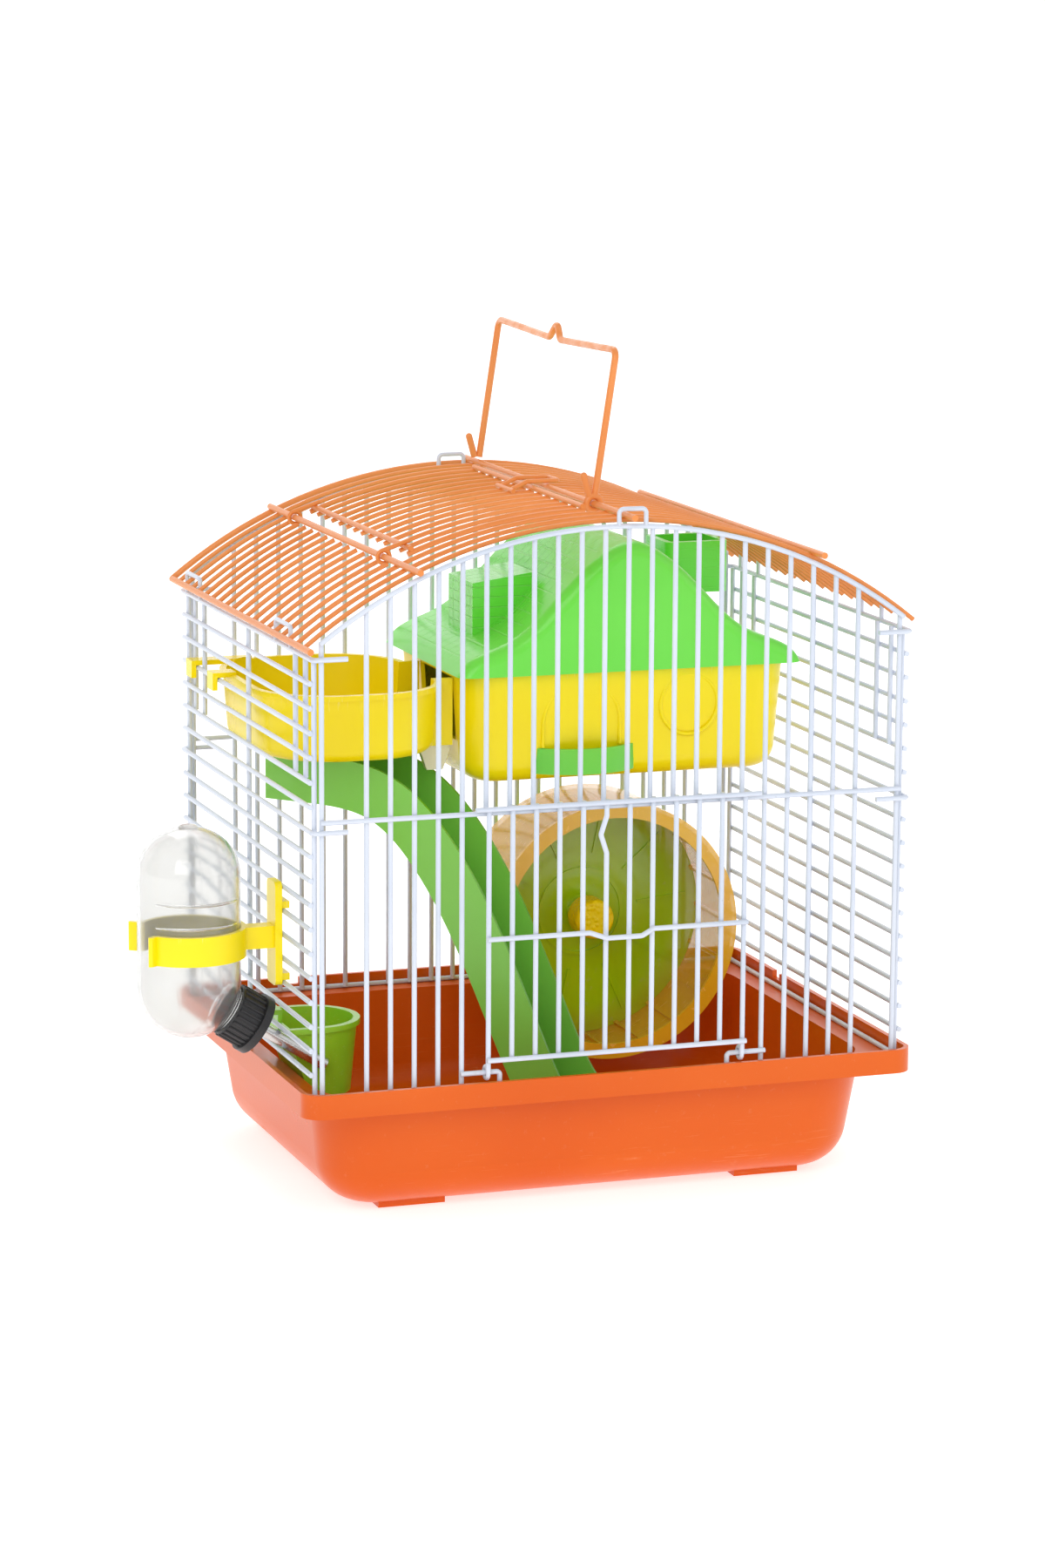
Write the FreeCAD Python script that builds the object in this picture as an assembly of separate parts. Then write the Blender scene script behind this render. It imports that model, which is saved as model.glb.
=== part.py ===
import FreeCAD, Part
import math
import os

os.makedirs("parts", exist_ok=True)

# Small carry cage for a dwarf hamster, in millimetres. The origin is the middle of the tray
# at the floor, +X to the cage's right, +Y to its back and +Z up.

# ---- driving dimensions ---------------------------------------------------------------------
# tray
RIM_LENGTH = 277.0
RIM_DEPTH = 216.0
RIM_TOP = 60.0
RIM_BAND = 10.5             # height of the rim's outer skirt
RIM_CORNER = 9.0
TRAY_WALL = 2.2
LEDGE_DROP = 6.0            # the wire walls stand this far below the rim's top
BASIN_INSET = 12.0          # the rim overhangs the basin by this much
BASIN_DRAFT = 7.0
BASIN_CORNER = 26.0
BASIN_BOTTOM_RADIUS = 20.0
FOOT_HEIGHT = 2.0
FOOT_WIDTH = 30.0
FOOT_SPREAD = 82.0          # from the middle of the tray to the middle of a foot runner
FOOT_ROOT = 1.5             # the foot reaches this far into the basin's rounded edge
NOTCH_WIDTH = 8.0
NOTCH_DEPTH = 3.2
NOTCH_X = 83.0              # two notches in the back rim
NOTCH_Y = 48.0              # one notch in the right rim
# wire walls
WIRE = 2.2                  # coated wire of the four walls
WELD = 0.3                  # crossed wires are sunk into each other by this much
WIRE_GAP = 0.3              # wires that only pass each other stay this far apart
WALL_CLEARANCE = 1.1        # from the rim's inner face to the walls
WALL_HEIGHT = 184.0         # top wire of the side walls above the rim
LOWEST_LEVEL = 5.0          # the lowest side wire is at least this far above the rim
SIDE_PITCH = 10.4
FRONT_PITCH = 10.5
MID_HEIGHT = 115.4          # lengthwise wire of the end walls above the rim
ARCH_SPRING = 7.2           # ends of the arched wire above the side walls' top wire
ARCH_RISE = 43.3
HOOK_LEVELS = (0, 7)        # side wires, from the top, that are hooked round the end walls
HOOK_REACH = 15.0
HOOK_BEND = 2.4
SHORT_INSETS = (14.5, 29.5)     # short uprights of the side walls, from the end walls
SHORT_LEVELS = 5
RETAINER_HEIGHT = 7.2       # loop on each end wall that stands up through the roof
RETAINER_HALF = 6.0
RETAINER_BEND = 2.0
SIDE_RETAINERS = (3, 16)    # first roof wire inside each loop of the side walls, less one
# roof, hatch and handle
ROOF_WIRE = 2.0
FRAME_WIRE = 2.8
ROOF_WIRES = 21
ROOF_OVERHANG = 9.0
ROOF_GAP = 0.1              # between the roof wires and the arched wire under them
CROSS_X = 90.0              # outer crosswires of the roof
PEAK_X = 4.0                # crosswire that carries the handle
HATCH_FIRST = 4             # roof wires from this one ...
HATCH_LAST = 17             # ... to this one are cut for the hatch
HATCH_LEFT = -80.0
HATCH_RIGHT = -3.2
HATCH_RAIL = 2.4
PULL_HALF = 7.0
PULL_TAIL = 10.0
PULL_TIP = 5.0
EYE_CLEARANCE = 0.3         # wire eyes turn freely round a straight wire
EYE_SHARE = 0.9             # an eye's wire is drawn a little thinner by its bending
HANDLE_WIRE = 3.0
HANDLE_HEIGHT = 66.0
HANDLE_LEAN = 8.5           # degrees to the right, as it is left standing
HANDLE_BEND = 4.0
HANDLE_STUB = 9.0
HANDLE_DIP = 2.0
HANDLE_BUMP = 7.0
HANDLE_GAPS = (4, 18)       # the legs stand in the middle of these gaps between roof wires
# front door
DOOR_PITCHES = 5.5          # door side wires, in pitches from the middle
DOOR_OVERLAP = 2.4          # the door's top wire above the mid wire
DOOR_CROSS = 62.0           # cross wire above the rim
DOOR_REACH = 6.5            # the top wire runs past the side wires
DOOR_SILL = 6.0             # lowest door wire above the hinge
HINGE_HEIGHT = 3.6          # hinge wire above the rim
HINGE_INSET = 6.0
# house
HOUSE_WIDTH = 153.5
HOUSE_DEPTH = 106.0
HOUSE_HEIGHT = 49.0
HOUSE_SIDE_GAP = 15.1       # to the right wall
HOUSE_BACK_GAP = 9.6        # to the back wall
HOUSE_HANG = 6.4            # its floor is this far below the mid wire that carries it
HOUSE_WALL = 2.0
HOUSE_CORNER = 16.0
HOUSE_DRAFT = 3.0
HOUSE_BOTTOM_RADIUS = 10.0
HOUSE_LEVEL = 4             # side wire, from the top, that steadies the house
EAVE_OVERHANG = 4.0
LID_HEIGHT = 57.0
LID_WALL = 2.0
LID_GAP = 0.3
LID_ROLL = 6.0              # rounding of the lid's front and back edges
CHIMNEY_X = 41.0            # chimney's left side, right of the house's middle
CHIMNEY_BACK = 11.0
CHIMNEY_WIDTH = 30.0
CHIMNEY_DEPTH = 10.0
CHIMNEY_GAP = 1.5           # to the roof wires over its right side
DORMER_LEFT = 14.5          # from the house's left end
DORMER_LENGTH = 29.0
DORMER_WIDTH = 34.0
WINDOW_X = 27.8             # from the middle of the house
WINDOW_DROP = 17.0
WINDOW_RADIUS = 13.5
DOORWAY_X = -22.8
DOORWAY_HALF = 18.0
DOORWAY_DROP = 5.0
BEAD = 0.9
BALCONY_RADIUS = 34.0
BALCONY_HALF = 23.0
BALCONY_FRONT = 6.5         # in front of the eave line
BALCONY_LOW = 4.0
BALCONY_HEIGHT = 11.5
BALCONY_WALL = 1.8
# upper tub and slide
TUB_HALF_X = 41.5
TUB_HALF_Y = 57.0
TUB_CORNER = 34.0
TUB_DEPTH = 30.0
TUB_WALL = 1.8
TUB_DRAFT = 2.0
TUB_BOTTOM_RADIUS = 5.0
TUB_LIP = 1.2
TUB_SIDE_GAP = 2.6
TUB_BACK_GAP = 15.7
TUB_LEVEL = 3               # side wire, from the top, that carries the tub
TUB_HOOK_Y = 57.7           # second hook, from the back wall
NECK_INSET = 19.0           # neck's front wall behind the house's front
NECK_WIDTH = 50.0
HOLE_RADIUS = 14.0
SLIDE_WIDTH = 40.0
SLIDE_WALL = 1.8
SLIDE_SIDE = 22.0
SLIDE_RUN = 150.0
SLIDE_HEADING = -38.0       # degrees from +X
SLIDE_FLOOR_GAP = 2.4
SLIDE_TOP_GAP = 1.0
SLIDE_LEFT = 31.0           # start corner, left of the tub's middle
SLIDE_FORWARD = 5.0         # and in front of it
HOOK_GAP = 0.15             # between a plastic hook and its wire
HOOK_TAB = 2.2
# wheel
WHEEL_GAP = 5               # the wheel stands behind this gap between uprights
WHEEL_HEADROOM = 22.0
WHEEL_RADIUS = 60.0
WHEEL_DEPTH = 50.0
WHEEL_WALL = 1.6
WHEEL_LIP = 7.0
RUNGS = 20
AXLE_RADIUS = 3.0
AXLE_CLEARANCE = 0.06
AXLE_LENGTH = 22.0          # from the wheel's back edge to the axle's head
HUB_RADIUS = 7.0
HUB_CAP_RADIUS = 9.3
BRACKET_GAP = 8.6           # bracket plate to the back wall's uprights
BRACKET_PLATE = 3.0
# water bottle
BOTTLE_RADIUS = 22.0
BOTTLE_WALL = 1.4
BOTTLE_HEIGHT = 69.0        # from the elbow to the top of the dome
DOME_HEIGHT = 20.0
BOTTLE_STANDOFF = 17.6      # from the left wall to the bottle
BOTTLE_FROM_FRONT = 45.7
SPOUT_ANGLE = 33.0          # below the horizontal
SPOUT_NECK = 10.5
TAPER_LENGTH = 12.0
NECK_START = 12.0           # distances along the spout, from the elbow
NECK_END = 31.0
CAP_START = 20.5
CAP_LENGTH = 15.0
CAP_RADIUS = 12.6
CAP_END_WALL = 2.4
CAP_CLEARANCE = 0.25
CAP_RIBS = 24
TUBE_CLEARANCE = 0.4        # tube to the wires it passes between
TUBE_WALL = 0.6
TUBE_LEVEL = 16             # the tube passes under this side wire, from the top
TUBE_INSIDE = 22.8          # the tube reaches this far past the wall
BALL_CLEARANCE = 0.1
RING_ABOVE = 19.7           # ring's middle above the elbow
RING_HEIGHT = 12.5
RING_WALL = 2.2
RING_FIT = 0.15
RING_MOUTH = 78.0           # degrees left open on the outer side
RING_FLARE = 3.6
CLIP_PLATE = 3.1
CLIP_HALF = 6.5
CLIP_LEVELS = (10, 13)      # the pegs sit in the gaps under these side wires
PEG_REACH = 3.6
PEG_HEIGHT = 3.0
# food dish
DISH_FROM_FRONT = 70.7
DISH_HALF = 21.0
DISH_DEPTH = 37.0
DISH_HEIGHT = 32.0
DISH_BACK = 11.5            # its back leans in by this much to clear the tray's ledge
DISH_LEVEL = 16
DISH_ROLL = 1.2
DISH_WALL = 1.8
DISH_TAPER = 3.0
DISH_HOOK_HALF = 7.0

# ---- values worked out from them ------------------------------------------------------------
wire_r = WIRE / 2
roof_r = ROOF_WIRE / 2
frame_r = FRAME_WIRE / 2
cross_gap = WIRE - WELD                      # between the axes of two crossed wall wires
ledge_z = RIM_TOP - LEDGE_DROP
basin_floor = FOOT_HEIGHT + TRAY_WALL
wall_x = RIM_LENGTH / 2 - TRAY_WALL - WALL_CLEARANCE - wire_r
side_upright_x = wall_x - cross_gap
side_inner_x = side_upright_x - wire_r
edge_x = side_upright_x - WIRE - WIRE_GAP    # edge uprights of the end walls
wall_y = RIM_DEPTH / 2 - TRAY_WALL - WALL_CLEARANCE - wire_r - cross_gap
rail_y = wall_y + cross_gap                  # lengthwise wires of the end walls
side_end = wall_y - wire_r - WIRE_GAP
bottom_wire_z = ledge_z + wire_r
wall_top = RIM_TOP + WALL_HEIGHT
mid_z = RIM_TOP + MID_HEIGHT
last_level = int((WALL_HEIGHT - LOWEST_LEVEL) / SIDE_PITCH)
side_levels = [wall_top - SIDE_PITCH * k for k in range(last_level + 1)]
short_hook_y = wall_y - sum(SHORT_INSETS) / 2        # between the two short uprights
arch_peak = wall_top + ARCH_SPRING + ARCH_RISE
arch_radius = (edge_x ** 2 + ARCH_RISE ** 2) / (2 * ARCH_RISE)
arch_z = arch_peak - arch_radius
roof_radius = arch_radius + wire_r + roof_r + ROOF_GAP
cross_radius = roof_radius + roof_r + frame_r - WELD
roof_rail_x = wall_x + roof_r + frame_r + WIRE_GAP
roof_front = -wall_y - ROOF_OVERHANG
roof_pitch = -2 * roof_front / (ROOF_WIRES - 1)
X = FreeCAD.Vector(1, 0, 0)
Y = FreeCAD.Vector(0, 1, 0)
Z = FreeCAD.Vector(0, 0, 1)

def vec(x, y, z):
    return FreeCAD.Vector(x, y, z)

def save(shape, name):
    """Write one node, which has to be a single valid solid."""
    if len(shape.Solids) != 1 or not shape.isValid():
        raise ValueError(name + " has " + str(len(shape.Solids)) + " solids or is not valid")
    shape.Solids[0].exportStep("parts/" + name + ".step")

def box(low, high):
    size = [b - a for a, b in zip(low, high)]
    return Part.makeBox(size[0], size[1], size[2], vec(*low))

def rod(start, end, radius):
    """Straight wire."""
    start = vec(*start)
    end = vec(*end)
    return Part.makeCylinder(radius, (end - start).Length, start, end - start)

def along(path, radius):
    """Round bar carried along a path of tangent edges."""
    first = path.OrderedEdges[0]
    start = first.valueAt(first.FirstParameter)
    heading = first.tangentAt(first.FirstParameter)
    section = Part.Wire(Part.makeCircle(radius, start, heading))
    return path.makePipeShell([section], True, False)

def bent_rod(points, radius, bend):
    """Bent wire: straight runs joined by arcs, of one bend radius or of one for each corner."""
    points = [vec(*p) for p in points]
    bends = bend if isinstance(bend, list) else [bend] * (len(points) - 2)
    edges = []
    last = points[0]
    for before, corner, after, size in zip(points, points[1:], points[2:], bends):
        back = (before - corner).normalize()
        on = (after - corner).normalize()
        half = back.getAngle(on) / 2
        cut = size / math.tan(half)
        begin = corner + back * cut
        end = corner + on * cut
        middle = (back + on).normalize()
        top = corner + middle * (size / math.sin(half) - size)
        if (begin - last).Length > 0.01:
            edges.append(Part.makeLine(last, begin))
        edges.append(Part.Arc(begin, top, end).toShape())
        last = end
    edges.append(Part.makeLine(last, points[-1]))
    return along(Part.Wire(edges), radius)

def arch_height(x, radius):
    return arch_z + math.sqrt(radius * radius - x * x)

def arch_rod(x0, x1, y, arch, radius):
    """Wire bent to an arc about the roof's axis, from x0 to x1."""
    points = [vec(x, y, arch_height(x, arch)) for x in (x0, (x0 + x1) / 2, x1)]
    return along(Part.Wire([Part.Arc(*points).toShape()]), radius)

def fuse(shapes):
    return shapes[0].multiFuse(shapes[1:]).removeSplitter()

def rounded(half_x, half_y, corner, z, cx=0.0, cy=0.0):
    """Outline of a rectangle with round corners, lying at height z."""
    inner_x = half_x - corner
    inner_y = half_y - corner
    k = corner * math.sqrt(0.5)
    arcs = []
    for sx, sy in ((1, 1), (-1, 1), (-1, -1), (1, -1)):
        start = (sx * half_x, sy * inner_y)
        end = (sx * inner_x, sy * half_y)
        if sx * sy < 0:
            start, end = end, start
        top = (sx * (inner_x + k), sy * (inner_y + k))
        points = [vec(cx + p[0], cy + p[1], z) for p in (start, top, end)]
        arcs.append((points[0], points[2], Part.Arc(*points).toShape()))
    edges = []
    for one, two in zip(arcs, arcs[1:] + arcs[:1]):
        edges.append(one[2])
        edges.append(Part.makeLine(one[1], two[0]))
    return Part.Wire(edges)

def prism(half_x, half_y, corner, z0, z1, cx=0.0, cy=0.0):
    face = Part.Face(rounded(half_x, half_y, corner, z0, cx, cy))
    return face.extrude(vec(0, 0, z1 - z0))

def tapered(top, low, z_top, z_low, edge_radius, cx=0.0, cy=0.0):
    """Round-cornered block that narrows downwards, its bottom edge rounded."""
    outline_low = rounded(low[0], low[1], low[2], z_low, cx, cy)
    outline_top = rounded(top[0], top[1], top[2], z_top, cx, cy)
    block = Part.makeLoft([outline_low, outline_top], True, True)
    edges = [e for e in block.Edges if e.BoundBox.ZMax < z_low + 0.01]
    return block.makeFillet(edge_radius, edges)

# ---- tray -----------------------------------------------------------------------------------
def make_tray():
    """One deep moulding: ledged rim, rounded basin and an H-shaped foot."""
    hx = RIM_LENGTH / 2
    hy = RIM_DEPTH / 2
    t = TRAY_WALL
    skirt_z = RIM_TOP - RIM_BAND
    skirt = prism(hx, hy, RIM_CORNER, skirt_z, RIM_TOP)
    seat = prism(hx - t, hy - t, RIM_CORNER - t, ledge_z, RIM_TOP + 1)
    under = prism(hx - t, hy - t, RIM_CORNER - t, skirt_z - 1, ledge_z - t)
    rim = skirt.cut(seat).cut(under)
    bx = hx - BASIN_INSET
    by = hy - BASIN_INSET
    top = (bx, by, BASIN_CORNER)
    low = (bx - BASIN_DRAFT, by - BASIN_DRAFT, BASIN_CORNER)
    outer = tapered(top, low, ledge_z, FOOT_HEIGHT, BASIN_BOTTOM_RADIUS)
    top_in = (bx - t, by - t, BASIN_CORNER - t)
    low_in = (low[0] - t, low[1] - t, BASIN_CORNER - t)
    cavity = tapered(top_in, low_in, ledge_z, basin_floor, BASIN_BOTTOM_RADIUS - t)
    runner = low[1] - BASIN_BOTTOM_RADIUS + 7.0
    root = FOOT_HEIGHT + FOOT_ROOT
    half = FOOT_WIDTH / 2
    feet = [box((-FOOT_SPREAD, -half / 2, 0), (FOOT_SPREAD, half / 2, root))]
    for x in (-FOOT_SPREAD, FOOT_SPREAD):
        feet.append(box((x - half, -runner, 0), (x + half, runner, root)))
    tray = fuse([outer, rim] + feet).cut(cavity)
    notch = NOTCH_WIDTH / 2
    notch_z = RIM_TOP - NOTCH_DEPTH
    for x in (-NOTCH_X, NOTCH_X):
        tray = tray.cut(box((x - notch, hy - t - 1, notch_z), (x + notch, hy + 1, RIM_TOP + 1)))
    low_corner = (hx - t - 1, NOTCH_Y - notch, notch_z)
    return tray.cut(box(low_corner, (hx + 1, NOTCH_Y + notch, RIM_TOP + 1)))

# ---- front and back walls -------------------------------------------------------------------
# Uprights under an arched wire, spot welded. "out" is -1 for the front and +1 for the back:
# the lengthwise wires lie on the outside of the uprights.
door_x = DOOR_PITCHES * FRONT_PITCH
jamb_x = door_x + FRONT_PITCH
hinge_z = RIM_TOP + HINGE_HEIGHT
upright_count = int(edge_x / FRONT_PITCH - 0.5)
upright_x = [FRONT_PITCH * (i + 0.5) for i in range(upright_count)] + [edge_x]

def door_hinge_wire(side):
    """Bent wire that carries one eye of the door: inwards from the jamb, then down."""
    inner = side * (door_x - HINGE_INSET)
    jamb = side * (jamb_x + wire_r)
    path = [(jamb, -rail_y, hinge_z), (inner, -rail_y, hinge_z), (inner, -rail_y, bottom_wire_z)]
    return bent_rod(path, wire_r, wire_r + 0.5)

def make_end_wall(out, with_door):
    y = out * wall_y
    outer_y = out * rail_y
    wires = []
    for x in [-x for x in upright_x] + upright_x:
        low = bottom_wire_z
        if with_door and abs(x) < door_x + 1:
            low = mid_z - wire_r
        wires.append(rod((x, y, low), (x, y, arch_height(x, arch_radius)), wire_r))
    end = edge_x + wire_r
    wires.append(arch_rod(-end, end, outer_y, arch_radius, wire_r))
    for z in (mid_z, bottom_wire_z):
        wires.append(rod((-end, outer_y, z), (end, outer_y, z), wire_r))
    if with_door:
        wires.append(door_hinge_wire(-1))
        wires.append(door_hinge_wire(1))
    # n-shaped loop that stands up through the roof beside the peak crosswire
    middle = -out * (PEAK_X + 2.0)
    a = middle - RETAINER_HALF
    b = middle + RETAINER_HALF
    foot = arch_peak - wire_r
    head = arch_peak + RETAINER_HEIGHT
    path = [(a, outer_y, foot), (a, outer_y, head), (b, outer_y, head), (b, outer_y, foot)]
    wires.append(bent_rod(path, roof_r, RETAINER_BEND))
    return fuse(wires)

# ---- side walls -----------------------------------------------------------------------------
# Close level wires on the outside of a few uprights. Two of the level wires run on past the
# corners and are hooked across the edge uprights of the end walls.
def hooked_wire(side, z):
    x = side * wall_x
    y = wall_y + 2 * wire_r + WIRE_GAP
    tip = x - side * HOOK_REACH
    path = [(tip, -y, z), (x, -y, z), (x, y, z), (tip, y, z)]
    return bent_rod(path, wire_r, HOOK_BEND)

def make_side_wall(side):
    x = side * wall_x
    inner_x = side * side_upright_x
    wires = []
    for y in (-side_end + wire_r, 0.0, side_end - wire_r):
        wires.append(rod((inner_x, y, bottom_wire_z), (inner_x, y, wall_top), wire_r))
    short_foot = side_levels[SHORT_LEVELS]
    for end in (-1, 1):
        for inset in SHORT_INSETS:
            y = end * (wall_y - inset)
            wires.append(rod((inner_x, y, short_foot), (inner_x, y, wall_top), wire_r))
    for index, z in enumerate(side_levels + [bottom_wire_z]):
        if index in HOOK_LEVELS:
            wires.append(hooked_wire(side, z))
        else:
            wires.append(rod((x, -side_end, z), (x, side_end, z), wire_r))
    # two n-shaped loops over the roof's edge, each round two roof wires
    slope = math.asin(wall_x / roof_radius)
    head = arch_height(wall_x, roof_radius) + (2 * roof_r + WIRE_GAP) / math.cos(slope)
    for first in SIDE_RETAINERS:
        y0 = roof_wire_y(first + 0.5)
        y1 = roof_wire_y(first + 2.5)
        path = [(x, y0, wall_top), (x, y0, head), (x, y1, head), (x, y1, wall_top)]
        wires.append(bent_rod(path, roof_r, RETAINER_BEND))
    return fuse(wires)

# ---- roof -----------------------------------------------------------------------------------
# Arched wires between two rails, with crosswires on top. The wires between the left
# crosswire and the peak crosswire are cut away over the hatch.
def roof_wire_y(index):
    return roof_front + roof_pitch * index

def make_roof():
    wires = []
    rail_z = arch_height(roof_rail_x, roof_radius)
    back = roof_wire_y(ROOF_WIRES - 1)
    for x in (-roof_rail_x, roof_rail_x):
        wires.append(rod((x, roof_front, rail_z), (x, back, rail_z), frame_r))
    for x in (-CROSS_X, PEAK_X, CROSS_X):
        z = arch_height(x, cross_radius)
        wires.append(rod((x, roof_front - frame_r, z), (x, back + frame_r, z), frame_r))
    for index in range(ROOF_WIRES):
        y = roof_wire_y(index)
        if index in (0, ROOF_WIRES - 1):
            wires.append(arch_rod(-roof_rail_x, roof_rail_x, y, roof_radius, frame_r))
        elif HATCH_FIRST <= index <= HATCH_LAST:
            wires.append(arch_rod(-roof_rail_x, -CROSS_X, y, roof_radius, roof_r))
            wires.append(arch_rod(PEAK_X, roof_rail_x, y, roof_radius, roof_r))
        else:
            wires.append(arch_rod(-roof_rail_x, roof_rail_x, y, roof_radius, roof_r))
    return fuse(wires)

# ---- roof hatch -----------------------------------------------------------------------------
# Arched wires on two rails. Two legs end in eyes round the left crosswire; a finger pull in
# the middle reaches over the peak crosswire.
def make_hatch():
    wires = []
    first = roof_wire_y(HATCH_FIRST)
    last = roof_wire_y(HATCH_LAST)
    rail_r = HATCH_RAIL / 2
    rail_radius = roof_radius + roof_r + rail_r - WELD
    for x in (HATCH_LEFT, HATCH_RIGHT):
        z = arch_height(x, rail_radius)
        wires.append(rod((x, first - rail_r, z), (x, last + rail_r, z), rail_r))
    for index in range(HATCH_FIRST, HATCH_LAST + 1):
        y = roof_wire_y(index)
        radius = rail_r if index in (HATCH_FIRST, HATCH_LAST) else roof_r
        wires.append(arch_rod(HATCH_LEFT - rail_r, HATCH_RIGHT + rail_r, y, roof_radius, radius))
    mean = frame_r + EYE_CLEARANCE + roof_r
    hinge = vec(-CROSS_X, 0, arch_height(-CROSS_X, cross_radius))
    rail = vec(HATCH_LEFT, 0, arch_height(HATCH_LEFT, rail_radius))
    across = (rail - hinge).normalize()
    up = vec(-across.z, 0, across.x)
    legs = []
    for index in (HATCH_FIRST, HATCH_LAST - 1):
        y = roof_wire_y(index + 0.5)
        legs.append(Part.makeTorus(mean, EYE_SHARE * roof_r, hinge + vec(0, y, 0), Y))
        start = hinge + up * mean
        end = rail + up * (rail_r + roof_r - WELD) + across * HATCH_RAIL
        legs.append(rod((start.x, y, start.z), (end.x, y, end.z), roof_r))
    middle = (first + last) / 2
    over = arch_height(PEAK_X, cross_radius) + frame_r + roof_r + WIRE_GAP
    rail_top = arch_height(HATCH_RIGHT, rail_radius) + rail_r + roof_r - WELD
    over = max(over, rail_top)
    tail_x = HATCH_RIGHT - PULL_TAIL
    tail_z = arch_height(tail_x, roof_radius) + 2 * roof_r - WELD
    rise_x = HATCH_RIGHT - HATCH_RAIL
    tip_x = PEAK_X + PULL_TIP
    a = middle - PULL_HALF
    b = middle + PULL_HALF
    path = [(tail_x, a, tail_z), (rise_x, a, over), (tip_x, a, over)]
    path += [(tip_x, b, over), (rise_x, b, over), (tail_x, b, tail_z)]
    pull = bent_rod(path, roof_r, RETAINER_BEND)
    tie_low = (tail_x, middle - roof_pitch, tail_z)
    tie = rod(tie_low, (tail_x, middle + roof_pitch, tail_z), roof_r)
    hatch = fuse(wires)
    for piece in legs + [pull, tie]:
        hatch = hatch.fuse(piece)
    return hatch.removeSplitter()

# ---- handle ---------------------------------------------------------------------------------
# Bail of one thick wire with a raised middle, its legs hooked round the peak crosswire.
def make_handle():
    r = HANDLE_WIRE / 2
    mean = frame_r + EYE_CLEARANCE + r
    pivot = vec(PEAK_X, 0, arch_height(PEAK_X, cross_radius))
    y0 = roof_wire_y(HANDLE_GAPS[0] + 0.5)
    y1 = roof_wire_y(HANDLE_GAPS[1] + 0.5)
    middle = (y0 + y1) / 2
    x = pivot.x
    foot = pivot.z + mean - r / 2
    top = pivot.z + HANDLE_HEIGHT
    dip = top - HANDLE_DIP
    bump = HANDLE_BUMP
    path = [(x, y0, foot), (x, y0, top), (x, middle - bump, dip), (x, middle, dip + bump)]
    path += [(x, middle + bump, dip), (x, y1, top), (x, y1, foot)]
    parts = [bent_rod(path, r, [HANDLE_BEND, HANDLE_BEND, 3.0, HANDLE_BEND, HANDLE_BEND])]
    for y in (y0, y1):
        parts.append(Part.makeTorus(mean, r, vec(x, y, pivot.z), Y))
        start = (x - 0.7 * mean, y, pivot.z + 0.7 * mean)
        end = (x - 0.7 * HANDLE_STUB, y, pivot.z + 0.7 * mean + HANDLE_STUB)
        parts.append(rod(start, end, r))
        parts.append(Part.makeSphere(r, vec(*end)))
    handle = fuse(parts)
    handle.rotate(pivot, Y, HANDLE_LEAN)
    return handle

# ---- front door -----------------------------------------------------------------------------
# Drop-down door in front of the front wall. Its side wires end in eyes round the hinge wires;
# one upright is kinked and springs over the mid wire.
def make_door():
    mean = 2 * wire_r + EYE_CLEARANCE
    y = -rail_y - mean
    front_y = y - cross_gap
    head = mid_z + DOOR_OVERLAP
    wires = []
    for side in (-1, 1):
        x = side * door_x
        wires.append(rod((x, y, hinge_z), (x, y, head), wire_r))
        wires.append(Part.makeTorus(mean, EYE_SHARE * wire_r, vec(x, -rail_y, hinge_z), X))
    sill = hinge_z + DOOR_SILL
    inner = [FRONT_PITCH * (i + 0.5) for i in range(int(DOOR_PITCHES))]
    latch_x = -inner[0]
    for x in [-x for x in inner] + inner:
        if x != latch_x:
            wires.append(rod((x, y, sill - wire_r), (x, y, head + wire_r), wire_r))
    step = FRONT_PITCH / 4
    kink = [(latch_x, y, sill - wire_r), (latch_x, y, head - 22.0)]
    kink += [(latch_x - step, y, head - 14.0), (latch_x, y, head - 6.0), (latch_x, y, head + wire_r)]
    wires.append(bent_rod(kink, wire_r, 2.5))
    reach = door_x + DOOR_REACH
    wires.append(rod((-reach, front_y, head), (reach, front_y, head), wire_r))
    edge = door_x + wire_r
    wires.append(rod((-edge, front_y, sill), (edge, front_y, sill), wire_r))
    cross = RIM_TOP + DOOR_CROSS
    out_y = front_y - wire_r
    bump = [(-edge, front_y, cross), (-1.25 * FRONT_PITCH, front_y, cross)]
    bump += [(-0.6 * FRONT_PITCH, out_y - 1.5, cross - wire_r * 2)]
    bump += [(0.9 * FRONT_PITCH, out_y - 1.5, cross - wire_r * 2)]
    bump += [(1.5 * FRONT_PITCH, front_y, cross), (edge, front_y, cross)]
    wires.append(bent_rod(bump, wire_r, 2.5))
    return fuse(wires)

# ---- house ----------------------------------------------------------------------------------
house_right = side_inner_x - HOUSE_SIDE_GAP
house_left = house_right - HOUSE_WIDTH
house_back = wall_y - wire_r - HOUSE_BACK_GAP
house_front = house_back - HOUSE_DEPTH
house_cx = (house_left + house_right) / 2
house_cy = (house_front + house_back) / 2
house_floor = mid_z - HOUSE_HANG
house_eave = house_floor + HOUSE_HEIGHT
tub_cx = -side_inner_x + TUB_SIDE_GAP + TUB_HALF_X
tub_cy = wall_y - TUB_BACK_GAP - TUB_HALF_Y
tub_rim = side_levels[TUB_LEVEL] + wire_r * 2
tub_floor = tub_rim - TUB_DEPTH
neck_front = house_front + NECK_INSET
neck_back = neck_front + NECK_WIDTH

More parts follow.
